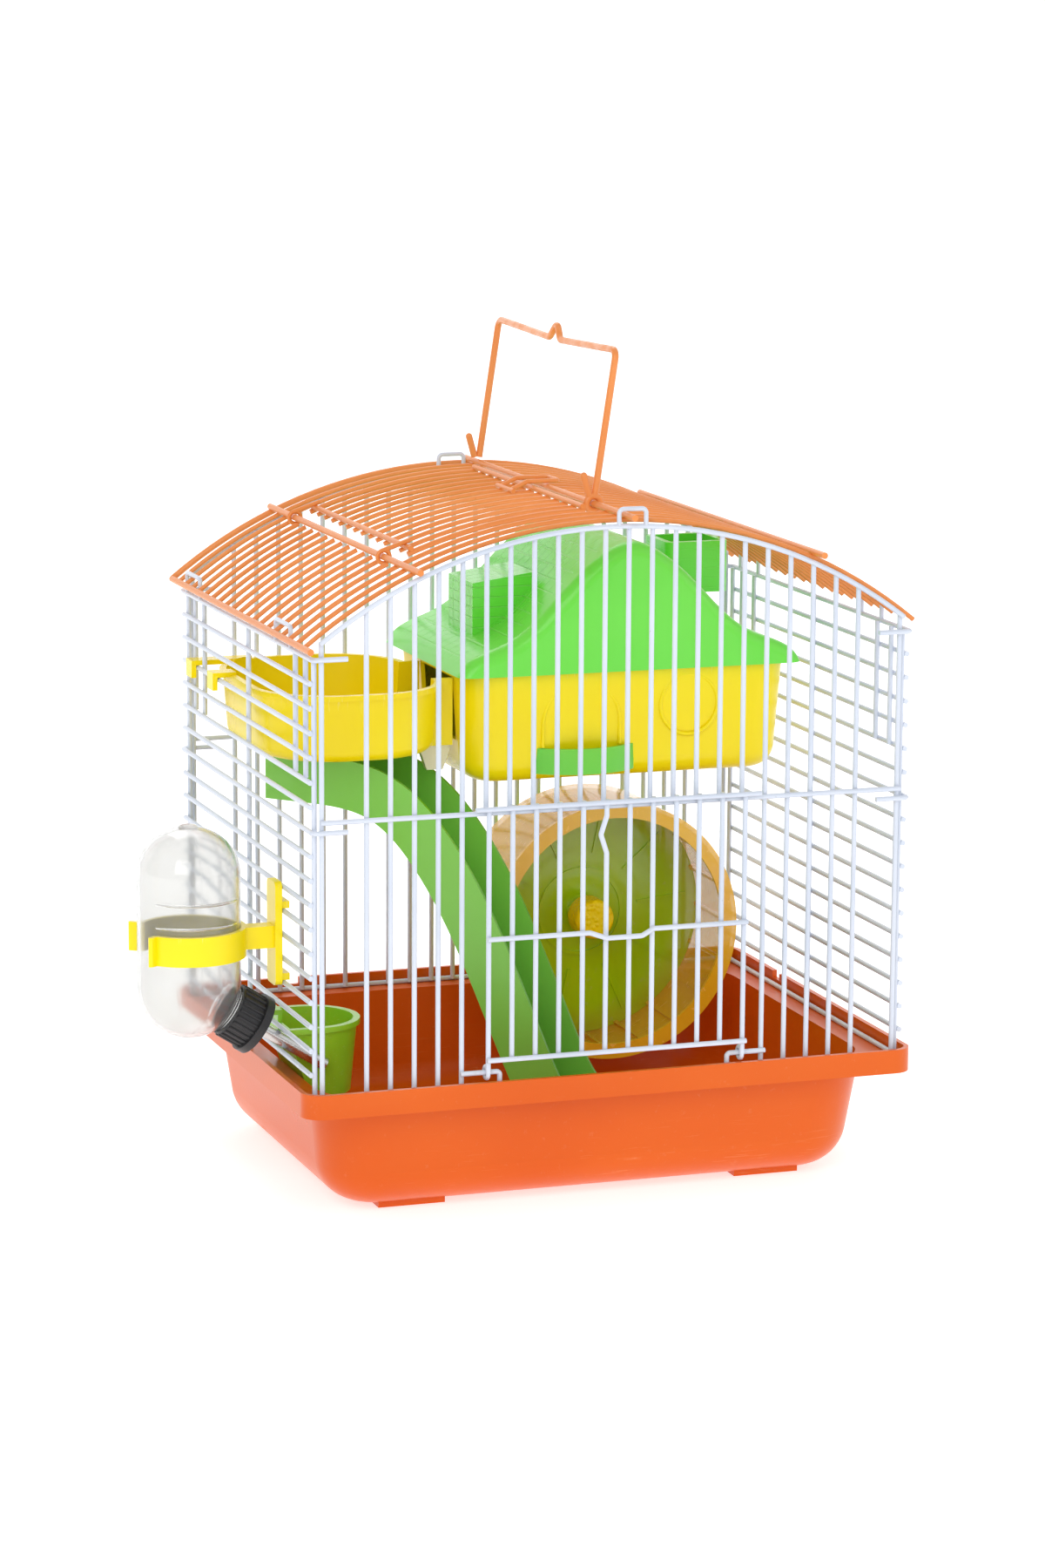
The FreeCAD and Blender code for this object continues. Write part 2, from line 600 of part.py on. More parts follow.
def make_house():
    """Open box of the house with embossed window and doorway, hooks and a way to the tub."""
    t = HOUSE_WALL
    hx = HOUSE_WIDTH / 2
    hy = HOUSE_DEPTH / 2
    top = (hx, hy, HOUSE_CORNER)
    low = (hx - HOUSE_DRAFT, hy - HOUSE_DRAFT, HOUSE_CORNER)
    radius = HOUSE_BOTTOM_RADIUS
    body = tapered(top, low, house_eave, house_floor, radius, house_cx, house_cy)
    top_in = (hx - t, hy - t, HOUSE_CORNER - t)
    low_in = (low[0] - t, low[1] - t, HOUSE_CORNER - t)
    room = tapered(top_in, low_in, house_eave, house_floor + t, radius - t, house_cx, house_cy)
    lean = HOUSE_DRAFT / HOUSE_HEIGHT
    window_x = house_cx + WINDOW_X
    window_y = house_front + lean * WINDOW_DROP
    window_z = house_eave - WINDOW_DROP
    window = Part.makeTorus(WINDOW_RADIUS, BEAD, vec(window_x, window_y, window_z), Y)
    x = house_cx + DOORWAY_X
    half = DOORWAY_HALF
    spring = house_eave - DOORWAY_DROP - half
    foot = house_floor + BALCONY_LOW + BALCONY_HEIGHT + LID_GAP
    y = house_front + lean * (house_eave - spring)
    arc = Part.Arc(vec(x - half, y, spring), vec(x, y, spring + half), vec(x + half, y, spring))
    left = Part.makeLine(vec(x - half, y, foot), vec(x - half, y, spring))
    right = Part.makeLine(vec(x + half, y, spring), vec(x + half, y, foot))
    doorway = along(Part.Wire([left, arc.toShape(), right]), BEAD)
    hooks = [house_back_hook(gap * FRONT_PITCH) for gap in (1, WHEEL_GAP)]
    hooks.append(house_side_hook())
    solid = fuse([body, window, doorway] + hooks).cut(room)
    way = box((house_left - 5, neck_front + TUB_WALL, tub_floor + TUB_WALL),
              (house_left + HOUSE_CORNER, neck_back - TUB_WALL, tub_rim))
    return solid.cut(way)

def house_back_hook(x):
    """Hook over the back wall's mid wire, between two of its uprights."""
    half = FRONT_PITCH / 4
    start = house_back - HOUSE_DRAFT - HOUSE_WALL
    outer = rail_y + wire_r + HOOK_GAP
    top = mid_z + wire_r + HOOK_GAP
    arm = box((x - half, start, top), (x + half, outer + HOOK_TAB, top + HOOK_TAB))
    tip = box((x - half, outer, mid_z - wire_r), (x + half, outer + HOOK_TAB, top + HOOK_TAB))
    return arm.fuse(tip)

def house_side_hook():
    """Hook over one level wire of the right wall, between its short uprights."""
    half = 4.0
    y = short_hook_y
    level = side_levels[HOUSE_LEVEL]
    outer = wall_x + wire_r + HOOK_GAP
    top = level + wire_r + HOOK_GAP
    start = house_right - HOUSE_CORNER / 2
    arm = box((start, y - half, top), (outer + HOOK_TAB, y + half, top + HOOK_TAB))
    tip = box((outer, y - half, level - wire_r), (outer + HOOK_TAB, y + half, top + HOOK_TAB))
    return arm.fuse(tip)

def lid_outline(grow, y):
    """Outline of the lid across the house: a bell-shaped gable, closed along the eaves."""
    half = HOUSE_WIDTH / 2 + EAVE_OVERHANG - grow
    rise = LID_HEIGHT - grow
    shares = [(-1.0, 0.0), (-0.97, 0.07), (-0.72, 0.25), (-0.42, 0.6), (-0.18, 0.9), (0.0, 1.0)]
    shares += [(-a, b) for a, b in reversed(shares[:-1])]
    points = [vec(house_cx + a * half, y, house_eave + b * rise) for a, b in shares]
    curve = Part.BSplineCurve()
    curve.interpolate(points)
    return Part.Wire([curve.toShape(), Part.makeLine(points[-1], points[0])])

def make_lid():
    """Bell-shaped lid with a chimney and a dormer, open underneath."""
    front = house_front - EAVE_OVERHANG
    back = house_back + EAVE_OVERHANG
    outer = Part.Face(lid_outline(0.0, front)).extrude(vec(0, back - front, 0))
    ends = [e for e in outer.Edges if e.BoundBox.YLength < 0.01 and e.BoundBox.ZLength > 1]
    outer = outer.makeFillet(LID_ROLL, ends)
    depth = back - front - 2 * LID_ROLL
    inner = Part.Face(lid_outline(LID_WALL, front + LID_ROLL)).extrude(vec(0, depth, 0))
    base = house_eave + LID_HEIGHT * 0.4
    x0 = house_cx + CHIMNEY_X
    top = arch_height(x0 + CHIMNEY_WIDTH, roof_radius) - roof_r - CHIMNEY_GAP
    y0 = house_back - CHIMNEY_BACK - CHIMNEY_WIDTH
    chimney = box((x0, y0, base), (x0 + CHIMNEY_WIDTH, y0 + CHIMNEY_WIDTH, top))
    chimney = chimney.makeFillet(3.0, [e for e in chimney.Edges if e.BoundBox.ZLength > 10])
    t = LID_WALL + 1.0
    flue = box((x0 + t, y0 + t, top - CHIMNEY_DEPTH),
               (x0 + CHIMNEY_WIDTH - t, y0 + CHIMNEY_WIDTH - t, top + 1))
    xa = house_left + DORMER_LEFT
    xb = xa + DORMER_LENGTH
    low = house_eave + 5.0
    ya = house_cy - DORMER_WIDTH / 2
    outline = [vec(xa, ya, low), vec(xa, ya, low + 31.0), vec(xb, ya, low + 35.0), vec(xb, ya, low)]
    dormer = Part.Face(Part.makePolygon(outline + outline[:1])).extrude(vec(0, DORMER_WIDTH, 0))
    lid = fuse([outer, chimney, dormer]).cut(inner).cut(flue)
    grow = LID_GAP
    seat = prism(HOUSE_WIDTH / 2 + grow, HOUSE_DEPTH / 2 + grow, HOUSE_CORNER + grow,
                 house_eave - 1, house_eave + LID_GAP, house_cx, house_cy)
    return lid.cut(seat)

def make_balcony():
    """Curved step under the doorway, fixed to the house's front."""
    x = house_cx + DOORWAY_X + 2.0
    low = house_floor + BALCONY_LOW
    high = low + BALCONY_HEIGHT
    lean = HOUSE_DRAFT / HOUSE_HEIGHT
    wall = house_front + lean * (house_eave - low) + HOUSE_BOTTOM_RADIUS * 0.3
    y = house_front - BALCONY_FRONT + BALCONY_RADIUS
    t = BALCONY_WALL
    half = BALCONY_HALF
    disc = Part.makeCylinder(BALCONY_RADIUS, BALCONY_HEIGHT, vec(x, y, low), Z)
    hollow = Part.makeCylinder(BALCONY_RADIUS - t, BALCONY_HEIGHT, vec(x, y, low + t), Z)
    step = disc.common(box((x - half, y - BALCONY_RADIUS - 1, low), (x + half, wall, high)))
    inside = hollow.common(box((x - half + t, y - BALCONY_RADIUS, low), (x + half - t, y, high + 9)))
    hx = HOUSE_WIDTH / 2
    hy = HOUSE_DEPTH / 2
    top = (hx, hy, HOUSE_CORNER)
    bottom = (hx - HOUSE_DRAFT, hy - HOUSE_DRAFT, HOUSE_CORNER)
    house = tapered(top, bottom, house_eave, house_floor, HOUSE_BOTTOM_RADIUS, house_cx, house_cy)
    house.translate(vec(0, -0.05, 0))
    return step.cut(inside).cut(house)

# ---- upper tub ------------------------------------------------------------------------------
def make_tub():
    """Oval tub hooked on the left wall, with a neck that leads into the house."""
    t = TUB_WALL
    top = (TUB_HALF_X, TUB_HALF_Y, TUB_CORNER)
    low = (TUB_HALF_X - TUB_DRAFT, TUB_HALF_Y - TUB_DRAFT, TUB_CORNER)
    radius = TUB_BOTTOM_RADIUS
    shell = tapered(top, low, tub_rim, tub_floor, radius, tub_cx, tub_cy)
    top_in = (top[0] - t, top[1] - t, top[2] - t)
    low_in = (low[0] - t, low[1] - t, low[2] - t)
    room = tapered(top_in, low_in, tub_rim, tub_floor + t, radius - t, tub_cx, tub_cy)
    above = prism(top_in[0], top_in[1], top_in[2], tub_rim - 0.01, tub_rim + 9, tub_cx, tub_cy)
    lip_x = TUB_HALF_X + TUB_LIP
    lip_y = TUB_HALF_Y + TUB_LIP
    lip = prism(lip_x, lip_y, TUB_CORNER + TUB_LIP, tub_rim - 2 * TUB_LIP, tub_rim, tub_cx, tub_cy)
    end = house_left - LID_GAP
    start = tub_cx + TUB_HALF_X - 6.0
    neck = box((start, neck_front, tub_floor), (end, neck_back, tub_rim))
    inside_low = (start - 6, neck_front + t, tub_floor + t)
    passage = box(inside_low, (end + 1, neck_back - t, tub_rim + 1))
    hooks = [tub_hook(y) for y in (short_hook_y, wall_y - TUB_HOOK_Y)]
    hole = prism(HOLE_RADIUS + 1, HOLE_RADIUS + 1, HOLE_RADIUS, tub_floor - 1, tub_floor + t + 1,
                 tub_cx - 10.0, tub_cy)
    return fuse([shell, lip, neck] + hooks).cut(room).cut(above).cut(passage).cut(hole)

def tub_hook(y):
    """Tab from the tub's rim over a level wire of the left wall."""
    half = 4.6
    level = side_levels[TUB_LEVEL]
    top = level + wire_r + HOOK_GAP
    outer = -wall_x - wire_r - HOOK_GAP
    reach = tub_cx - TUB_HALF_X / 2
    arm = box((outer - HOOK_TAB, y - half, top), (reach, y + half, top + HOOK_TAB))
    tip = box((outer - HOOK_TAB, y - half, level - 4 * wire_r), (outer, y + half, top + HOOK_TAB))
    return arm.fuse(tip)

def make_link_clip():
    """Small tapered clip under the neck that ties the tub to the house."""
    y0 = neck_front + 2.0
    high = tub_floor - 0.05
    half = 7.5
    x = house_left - LID_GAP - half
    points = [(x - half, high), (x + half, high), (x + half / 2, high - 11.0), (x - half / 2, high - 11.0)]
    outline = [vec(px, y0, z) for px, z in points]
    return Part.Face(Part.makePolygon(outline + outline[:1])).extrude(vec(0, 4.0, 0))

# ---- slide ----------------------------------------------------------------------------------
# Channel with two side walls, drawn in its own upright plane and then turned to its heading.
# The shape is given as shares of the run and of the drop.
SLIDE_SHAPE = ((0.0, 1.0), (0.147, 0.994), (0.32, 0.962), (0.467, 0.827), (0.627, 0.546),
               (0.747, 0.278), (0.853, 0.099), (1.0, 0.0))
slide_low = basin_floor + SLIDE_FLOOR_GAP
slide_high = tub_floor - SLIDE_TOP_GAP - SLIDE_SIDE
slide_path = [(a * SLIDE_RUN, slide_low + b * (slide_high - slide_low)) for a, b in SLIDE_SHAPE]

def slide_curve(shift):
    """Floor line of the slide moved square to itself, as a spline in the XZ plane."""
    points = []
    last = len(slide_path) - 1
    for i, (s, z) in enumerate(slide_path):
        before = slide_path[max(i - 1, 0)]
        after = slide_path[min(i + 1, last)]
        slope = vec(after[0] - before[0], 0, after[1] - before[1]).normalize()
        points.append(vec(s, 0, z) + vec(-slope.z, 0, slope.x) * shift)
    curve = Part.BSplineCurve()
    curve.interpolate(points)
    return curve.toShape(), points

def band(high, y0, width):
    """Strip between the floor line and its copy moved up by high."""
    under, under_points = slide_curve(0.0)
    over, over_points = slide_curve(high)
    first = Part.makeLine(under_points[0], over_points[0])
    last = Part.makeLine(over_points[-1], under_points[-1])
    strip = Part.Face(Part.Wire([under, last, over, first])).extrude(vec(0, width, 0))
    strip.translate(vec(0, y0, 0))
    return strip

def make_slide():
    t = SLIDE_WALL
    floor = band(t, 0.0, SLIDE_WIDTH)
    near = band(SLIDE_SIDE, 0.0, t)
    far = band(SLIDE_SIDE, SLIDE_WIDTH - t, t)
    end = box((0.0, 0.0, slide_high), (t, SLIDE_WIDTH, slide_high + SLIDE_SIDE))
    slide = fuse([floor, near, far, end])
    slide.rotate(vec(0, 0, 0), Z, SLIDE_HEADING)
    slide.translate(vec(tub_cx - SLIDE_LEFT, tub_cy - SLIDE_FORWARD, 0))
    return slide

# ---- wheel ----------------------------------------------------------------------------------
wheel_x = WHEEL_GAP * FRONT_PITCH
wheel_z = house_floor - WHEEL_HEADROOM - WHEEL_RADIUS
bracket_y = wall_y - wire_r - BRACKET_GAP
wheel_back = bracket_y - 3.0
wheel_front = wheel_back - WHEEL_DEPTH
disc_y = wheel_back - 3.4
axle_tip = wheel_back - AXLE_LENGTH

def wheel_cylinder(radius, y0, y1):
    return Part.makeCylinder(radius, y1 - y0, vec(wheel_x, y0, wheel_z), Y)

def turned(shape, angle):
    shape.rotate(vec(wheel_x, 0, wheel_z), Y, angle)
    return shape

def make_drum():
    """Running drum: a short tube with a narrow lip in front and rungs inside."""
    inner = WHEEL_RADIUS - WHEEL_WALL
    t = WHEEL_WALL
    drum = wheel_cylinder(WHEEL_RADIUS, wheel_front, wheel_back)
    drum = drum.cut(wheel_cylinder(inner, wheel_front + t, wheel_back + 1))
    drum = drum.cut(wheel_cylinder(WHEEL_RADIUS - WHEEL_LIP, wheel_front - 1, wheel_front + t + 1))
    rungs = []
    for i in range(RUNGS):
        low = (wheel_x - 0.9, wheel_front + t / 2, wheel_z + inner - 1.6)
        high = (wheel_x + 0.9, disc_y - 0.2, wheel_z + inner + t / 4)
        rungs.append(turned(box(low, high), 360.0 * i / RUNGS))
    return fuse([drum] + rungs)

def make_disc():
    """Back disc with a hub tube and short spokes, snapped into the drum."""
    radius = WHEEL_RADIUS - WHEEL_WALL - 0.1
    disc = wheel_cylinder(radius, disc_y, disc_y + 2.0)
    hub = wheel_cylinder(HUB_RADIUS, axle_tip + 4.0, disc_y + 0.5)
    swell = wheel_cylinder(radius * 0.36, disc_y - 0.8, disc_y + 0.5)
    swell = swell.cut(wheel_cylinder(radius * 0.33, disc_y - 2, disc_y))
    spokes = []
    for i in range(10):
        low = (wheel_x - 0.6, disc_y - 0.9, wheel_z + radius * 0.48)
        high = (wheel_x + 0.6, disc_y + 0.5, wheel_z + radius * 0.9)
        spokes.append(turned(box(low, high), 36.0 * i + 12.0))
    bore = wheel_cylinder(AXLE_RADIUS + AXLE_CLEARANCE, axle_tip - 5, wheel_back + 5)
    return fuse([disc, hub, swell] + spokes).cut(bore)

def make_hub_cap():
    """Domed cap over the hub tube; it hides the axle's head."""
    front = axle_tip - 3.0
    cap = wheel_cylinder(HUB_CAP_RADIUS, front, axle_tip + 10.0)
    cap = cap.makeFillet(2.4, [e for e in cap.Edges if e.BoundBox.YMax < front + 0.01])
    socket = wheel_cylinder(HUB_RADIUS + 0.05, axle_tip + 3.9, axle_tip + 11)
    head_room = wheel_cylinder(axle_head + 0.8, axle_tip - 0.8, axle_tip + 4.5)
    return cap.cut(socket).cut(head_room)

axle_head = AXLE_RADIUS * 1.5

def make_axle():
    """Pin with a head inside the hub cap; its other end is pressed into the bracket."""
    pin = wheel_cylinder(AXLE_RADIUS, axle_tip + 0.4, bracket_y + 2.0)
    head = wheel_cylinder(axle_head, axle_tip + 0.4, axle_tip + 3.4)
    return pin.fuse(head).removeSplitter()

def make_bracket():
    """Plate on the back wall: it grips two uprights and carries the axle."""
    half = 1.5 * FRONT_PITCH + 4.5
    height = 16.0
    low = (wheel_x - half, bracket_y, wheel_z - height)
    plate = box(low, (wheel_x + half, bracket_y + BRACKET_PLATE, wheel_z + height))
    plate = plate.makeFillet(5.0, [e for e in plate.Edges if e.BoundBox.YLength > BRACKET_PLATE - 0.1])
    parts = [plate, wheel_cylinder(8.0, bracket_y - 2.0, bracket_y + 1)]
    reach = wall_y + wire_r + 1.0
    gripped = [wheel_x + side * FRONT_PITCH for side in (-1.5, 1.5)]
    for x in gripped:
        parts.append(box((x - 3.4, bracket_y + 1, wheel_z - 12.0), (x + 3.4, reach, wheel_z + 12.0)))
    bracket = fuse(parts)
    for x in gripped:
        side = wire_r + 0.1
        slot_low = (x - side, wall_y - wire_r - 0.2, wheel_z - 20.0)
        bracket = bracket.cut(box(slot_low, (x + side, reach + 1, wheel_z + 20.0)))
    return bracket.cut(wheel_cylinder(AXLE_RADIUS, bracket_y - 3, bracket_y + 5))

# ---- water bottle ---------------------------------------------------------------------------
# The tube runs down through a gap between two level wires of the left wall.
spout = math.radians(SPOUT_ANGLE)
spout_dir = vec(math.cos(spout), 0, -math.sin(spout))
tube_radius = SIDE_PITCH / 2 * math.cos(spout) - wire_r - TUBE_CLEARANCE
tube_bore = tube_radius - TUBE_WALL
ball_radius = tube_bore - BALL_CLEARANCE
wall_face = wall_x + wire_r
bottle_x = -wall_face - BOTTLE_STANDOFF - BOTTLE_RADIUS
bottle_y = -wall_y + BOTTLE_FROM_FRONT
elbow_z = side_levels[TUBE_LEVEL] - SIDE_PITCH / 2 - (bottle_x + wall_x) * math.tan(spout)
elbow = vec(bottle_x, bottle_y, elbow_z)
tube_length = (-wall_x - bottle_x) / math.cos(spout) + TUBE_INSIDE
cap_end = CAP_START + CAP_LENGTH
tube_start = NECK_END - 1.0
tube_lip = ball_radius * 0.75

def spout_cylinder(radius, a, b):
    return Part.makeCylinder(radius, b - a, elbow + spout_dir * a, spout_dir)

def bottle_solid(shrink):
    """Upright bottle with a domed top, its lower end bent to the spout."""
    r = BOTTLE_RADIUS - shrink
    height = BOTTLE_HEIGHT - DOME_HEIGHT
    barrel = Part.makeCylinder(r, height, elbow, Z)
    squash = FreeCAD.Matrix()
    squash.scale(1.0, 1.0, (DOME_HEIGHT - shrink) / r)
    dome = Part.makeSphere(r, vec(0, 0, 0)).transformGeometry(squash)
    dome.translate(elbow + vec(0, 0, height))
    neck_r = SPOUT_NECK - shrink
    taper = Part.makeCone(r * 0.93, neck_r, TAPER_LENGTH, elbow + spout_dir * (r * 0.37), spout_dir)
    end = NECK_END + 2.0 if shrink else NECK_END
    neck = spout_cylinder(neck_r, NECK_START, end)
    return fuse([barrel, Part.makeSphere(r, elbow), dome, taper, neck])

def make_bottle():
    return bottle_solid(0.0).cut(bottle_solid(BOTTLE_WALL))

def make_cap():
    """Screw cap with a wider flange and grip ribs."""
    core = CAP_RADIUS - 1.0
    parts = [spout_cylinder(core, CAP_START, cap_end)]
    parts.append(spout_cylinder(CAP_RADIUS + 0.8, cap_end - 3.6, cap_end))
    for i in range(CAP_RIBS):
        rib = spout_cylinder(0.7, CAP_START + 1.0, cap_end - 2.0)
        rib.translate(vec(0, core, 0))
        rib.rotate(elbow, spout_dir, 360.0 * i / CAP_RIBS)
        parts.append(rib)
    socket = spout_cylinder(SPOUT_NECK + CAP_CLEARANCE, CAP_START - 1, cap_end - CAP_END_WALL)
    hole = spout_cylinder(tube_radius, CAP_START, cap_end + 5)
    return fuse(parts).cut(socket).cut(hole)

def make_seal():
    """Rubber washer between the bottle's mouth and the cap."""
    washer = spout_cylinder(SPOUT_NECK - 0.4, NECK_END + 0.05, cap_end - CAP_END_WALL)
    return washer.cut(spout_cylinder(tube_radius, NECK_END - 1, NECK_END + 10))

def make_tube():
    """Steel drinking tube with a rolled-in lip that keeps the ball."""
    tube = spout_cylinder(tube_radius, tube_start, tube_length)
    bore = spout_cylinder(tube_bore, tube_start - 1, tube_length - 0.8)
    lip = spout_cylinder(tube_lip, tube_length - 3, tube_length + 1)
    return tube.cut(bore).cut(lip)

def make_ball():
    seat = math.sqrt(ball_radius ** 2 - tube_lip ** 2)
    return Part.makeSphere(ball_radius, elbow + spout_dir * (tube_length - 0.8 - seat - 0.02))

ring_z = elbow_z + RING_ABOVE
clip_face = -wall_face - 2 * HOOK_GAP
clip_back = clip_face - CLIP_PLATE

def make_ring():
    """C-shaped spring ring round the bottle, with flared ends and a stem to the clip."""
    inner = BOTTLE_RADIUS + RING_FIT
    outer = inner + RING_WALL
    low = ring_z - RING_HEIGHT / 2
    base = vec(bottle_x, bottle_y, low)
    below = base - vec(0, 0, 1)
    hoop = Part.makeCylinder(outer, RING_HEIGHT, base, Z)
    stem = box((bottle_x + inner + 1.0, bottle_y - 4.0, low + 1.5),
               (clip_back, bottle_y + 4.0, low + RING_HEIGHT - 1.5))
    hoop = hoop.fuse(stem).cut(Part.makeCylinder(inner, RING_HEIGHT + 2, below, Z))
    gap = Part.makeCylinder(outer + 5, RING_HEIGHT + 2, below, Z, RING_MOUTH)
    gap.rotate(base, Z, 180.0 - RING_MOUTH / 2)
    parts = [hoop.cut(gap)]
    for side in (-1, 1):
        angle = 180.0 + side * RING_MOUTH / 2
        along_out = vec(math.cos(math.radians(angle)), math.sin(math.radians(angle)), 0)
        at = base + along_out * (inner + RING_WALL / 2)
        parts.append(Part.makeCylinder(RING_WALL / 2, RING_HEIGHT, at + along_out * RING_FLARE, Z))
        web = box((0, -RING_WALL / 2, 0), (RING_FLARE, RING_WALL / 2, RING_HEIGHT))
        web.rotate(vec(0, 0, 0), Z, angle)
        web.translate(at)
        parts.append(web)
    return fuse(parts)

def make_ring_clip():
    """Clip plate on the left wall: pegs between its level wires, a thumb tab at each end."""
    y0 = bottle_y - CLIP_HALF
    y1 = bottle_y + CLIP_HALF
    plate = box((clip_back, y0, ring_z - 21.0), (clip_face, y1, ring_z + 24.0))
    plate = plate.makeFillet(2.5, [e for e in plate.Edges if e.BoundBox.XLength > CLIP_PLATE - 0.1])
    parts = [plate]
    for k in CLIP_LEVELS:
        peg = side_levels[k + 1] + wire_r + HOOK_GAP
        low = (clip_face - 1, y0 + 1.5, peg)
        parts.append(box(low, (clip_face + PEG_REACH, y1 - 1.5, peg + PEG_HEIGHT)))
    return fuse(parts)

# ---- food dish ------------------------------------------------------------------------------
dish_y = -wall_y + DISH_FROM_FRONT
dish_rim = side_levels[DISH_LEVEL] - wire_r * 2
dish_flat = -side_inner_x + 0.5

def dish_outline(grow, lean, z):
    """Half oval with its flat side against the left wall, or lean in front of it."""
    flat = dish_flat + lean
    half = DISH_HALF - grow
    reach = dish_flat + DISH_DEPTH - grow
    a = vec(flat, dish_y - half, z)
    b = vec(flat, dish_y + half, z)
    c = vec(reach - half, dish_y - half, z)
    d = vec(reach - half, dish_y + half, z)
    arc = Part.Arc(c, vec(reach, dish_y, z), d).toShape()
    return Part.Wire([Part.makeLine(a, c), arc, Part.makeLine(d, b), Part.makeLine(b, a)])

def make_dish():
    """Feeding cup with a rolled rim and a hook over a level wire."""
    t = DISH_WALL
    low = dish_rim - DISH_HEIGHT
    outside = [dish_outline(DISH_TAPER, DISH_BACK, low), dish_outline(0.0, 0.0, dish_rim)]
    outer = Part.makeLoft(outside, True, True)
    inside = [dish_outline(DISH_TAPER + t, DISH_BACK + t, low + t), dish_outline(t, t, dish_rim + 0.01)]
    inner = Part.makeLoft(inside, True, True)
    rim = Part.Face(dish_outline(-DISH_ROLL, 0.0, dish_rim - 2 * DISH_ROLL))
    rim = rim.extrude(vec(0, 0, 2 * DISH_ROLL))
    y0 = dish_y - DISH_HOOK_HALF
    y1 = dish_y + DISH_HOOK_HALF
    level = side_levels[DISH_LEVEL]
    top = level + wire_r + HOOK_GAP
    outside = -wall_face - HOOK_GAP
    arm = box((outside - HOOK_TAB, y0, top), (dish_flat + t, y1, top + HOOK_TAB))
    tip = box((outside - HOOK_TAB, y0, level - wire_r), (outside, y1, top + HOOK_TAB))
    riser = box((dish_flat, y0, dish_rim - 6.0), (dish_flat + t, y1, top + HOOK_TAB))
    return fuse([outer, rim]).cut(inner).fuse(fuse([arm, tip, riser])).removeSplitter()

save(make_tray(), "tray")
save(make_end_wall(-1, True), "front_wall")
save(make_end_wall(1, False), "back_wall")
save(make_side_wall(-1), "left_wall")
save(make_side_wall(1), "right_wall")
save(make_roof(), "roof")
save(make_hatch(), "roof_hatch")
save(make_handle(), "carry_handle")
save(make_door(), "front_door")
save(make_house(), "house_box")
save(make_lid(), "house_lid")
save(make_balcony(), "balcony")
save(make_tub(), "upper_tub")
save(make_link_clip(), "link_clip")
save(make_slide(), "slide")
save(make_drum(), "wheel_drum")
save(make_disc(), "wheel_disc")
save(make_hub_cap(), "hub_cap")
save(make_axle(), "wheel_axle")
save(make_bracket(), "wheel_bracket")
save(make_bottle(), "bottle")
save(make_cap(), "bottle_cap")
save(make_seal(), "bottle_seal")
save(make_tube(), "sipper_tube")
save(make_ball(), "sipper_ball")
save(make_ring(), "bottle_ring")
save(make_ring_clip(), "ring_clip")
save(make_dish(), "food_dish")
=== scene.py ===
import math
import bpy
import numpy as np
from mathutils import Matrix, Vector


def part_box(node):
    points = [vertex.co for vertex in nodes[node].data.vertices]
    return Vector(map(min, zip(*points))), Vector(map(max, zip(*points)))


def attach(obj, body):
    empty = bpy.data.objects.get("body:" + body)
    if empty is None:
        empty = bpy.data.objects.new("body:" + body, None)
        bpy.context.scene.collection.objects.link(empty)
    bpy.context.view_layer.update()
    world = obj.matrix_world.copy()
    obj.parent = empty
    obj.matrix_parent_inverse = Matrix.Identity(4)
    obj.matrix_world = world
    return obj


# Looks of a small hamster carry cage: coated wire on a deep plastic tray, with plastic fittings.
# Metres, +Z up, the cage's door faces -Y. Each section below dresses one real piece.

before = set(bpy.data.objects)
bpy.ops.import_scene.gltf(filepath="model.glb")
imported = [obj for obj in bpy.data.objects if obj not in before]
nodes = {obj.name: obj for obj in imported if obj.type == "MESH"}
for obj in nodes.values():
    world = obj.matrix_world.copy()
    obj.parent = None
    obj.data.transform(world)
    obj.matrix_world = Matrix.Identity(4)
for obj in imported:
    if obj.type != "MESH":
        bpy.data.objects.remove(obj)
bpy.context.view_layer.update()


class Value:
    """A shader socket that can be used in sums: every operator adds one Math node."""

    def __init__(self, look, socket):
        self.look = look
        self.socket = socket

    def calc(self, operation, *values):
        node = self.look.tree.nodes.new("ShaderNodeMath")
        node.operation = operation
        for slot, value in zip(node.inputs, values):
            self.look.feed(slot, value)
        return Value(self.look, node.outputs[0])

    def __add__(self, other): return self.calc("ADD", self, other)
    def __radd__(self, other): return self.calc("ADD", other, self)
    def __sub__(self, other): return self.calc("SUBTRACT", self, other)
    def __rsub__(self, other): return self.calc("SUBTRACT", other, self)
    def __mul__(self, other): return self.calc("MULTIPLY", self, other)
    def __rmul__(self, other): return self.calc("MULTIPLY", other, self)
    def __pow__(self, other): return self.calc("POWER", self, other)
    def above(self, limit): return self.calc("GREATER_THAN", self, limit)
    def least(self, other): return self.calc("MINIMUM", self, other)
    def sine(self): return self.calc("SINE", self)
    def size(self): return self.calc("ABSOLUTE", self)

    def step(self, low, high):
        """0 below low, 1 above high, smooth between."""
        return self.look.node("ShaderNodeMapRange", {"interpolation_type": "SMOOTHSTEP"},
                              {"Value": self, "From Min": low, "From Max": high})


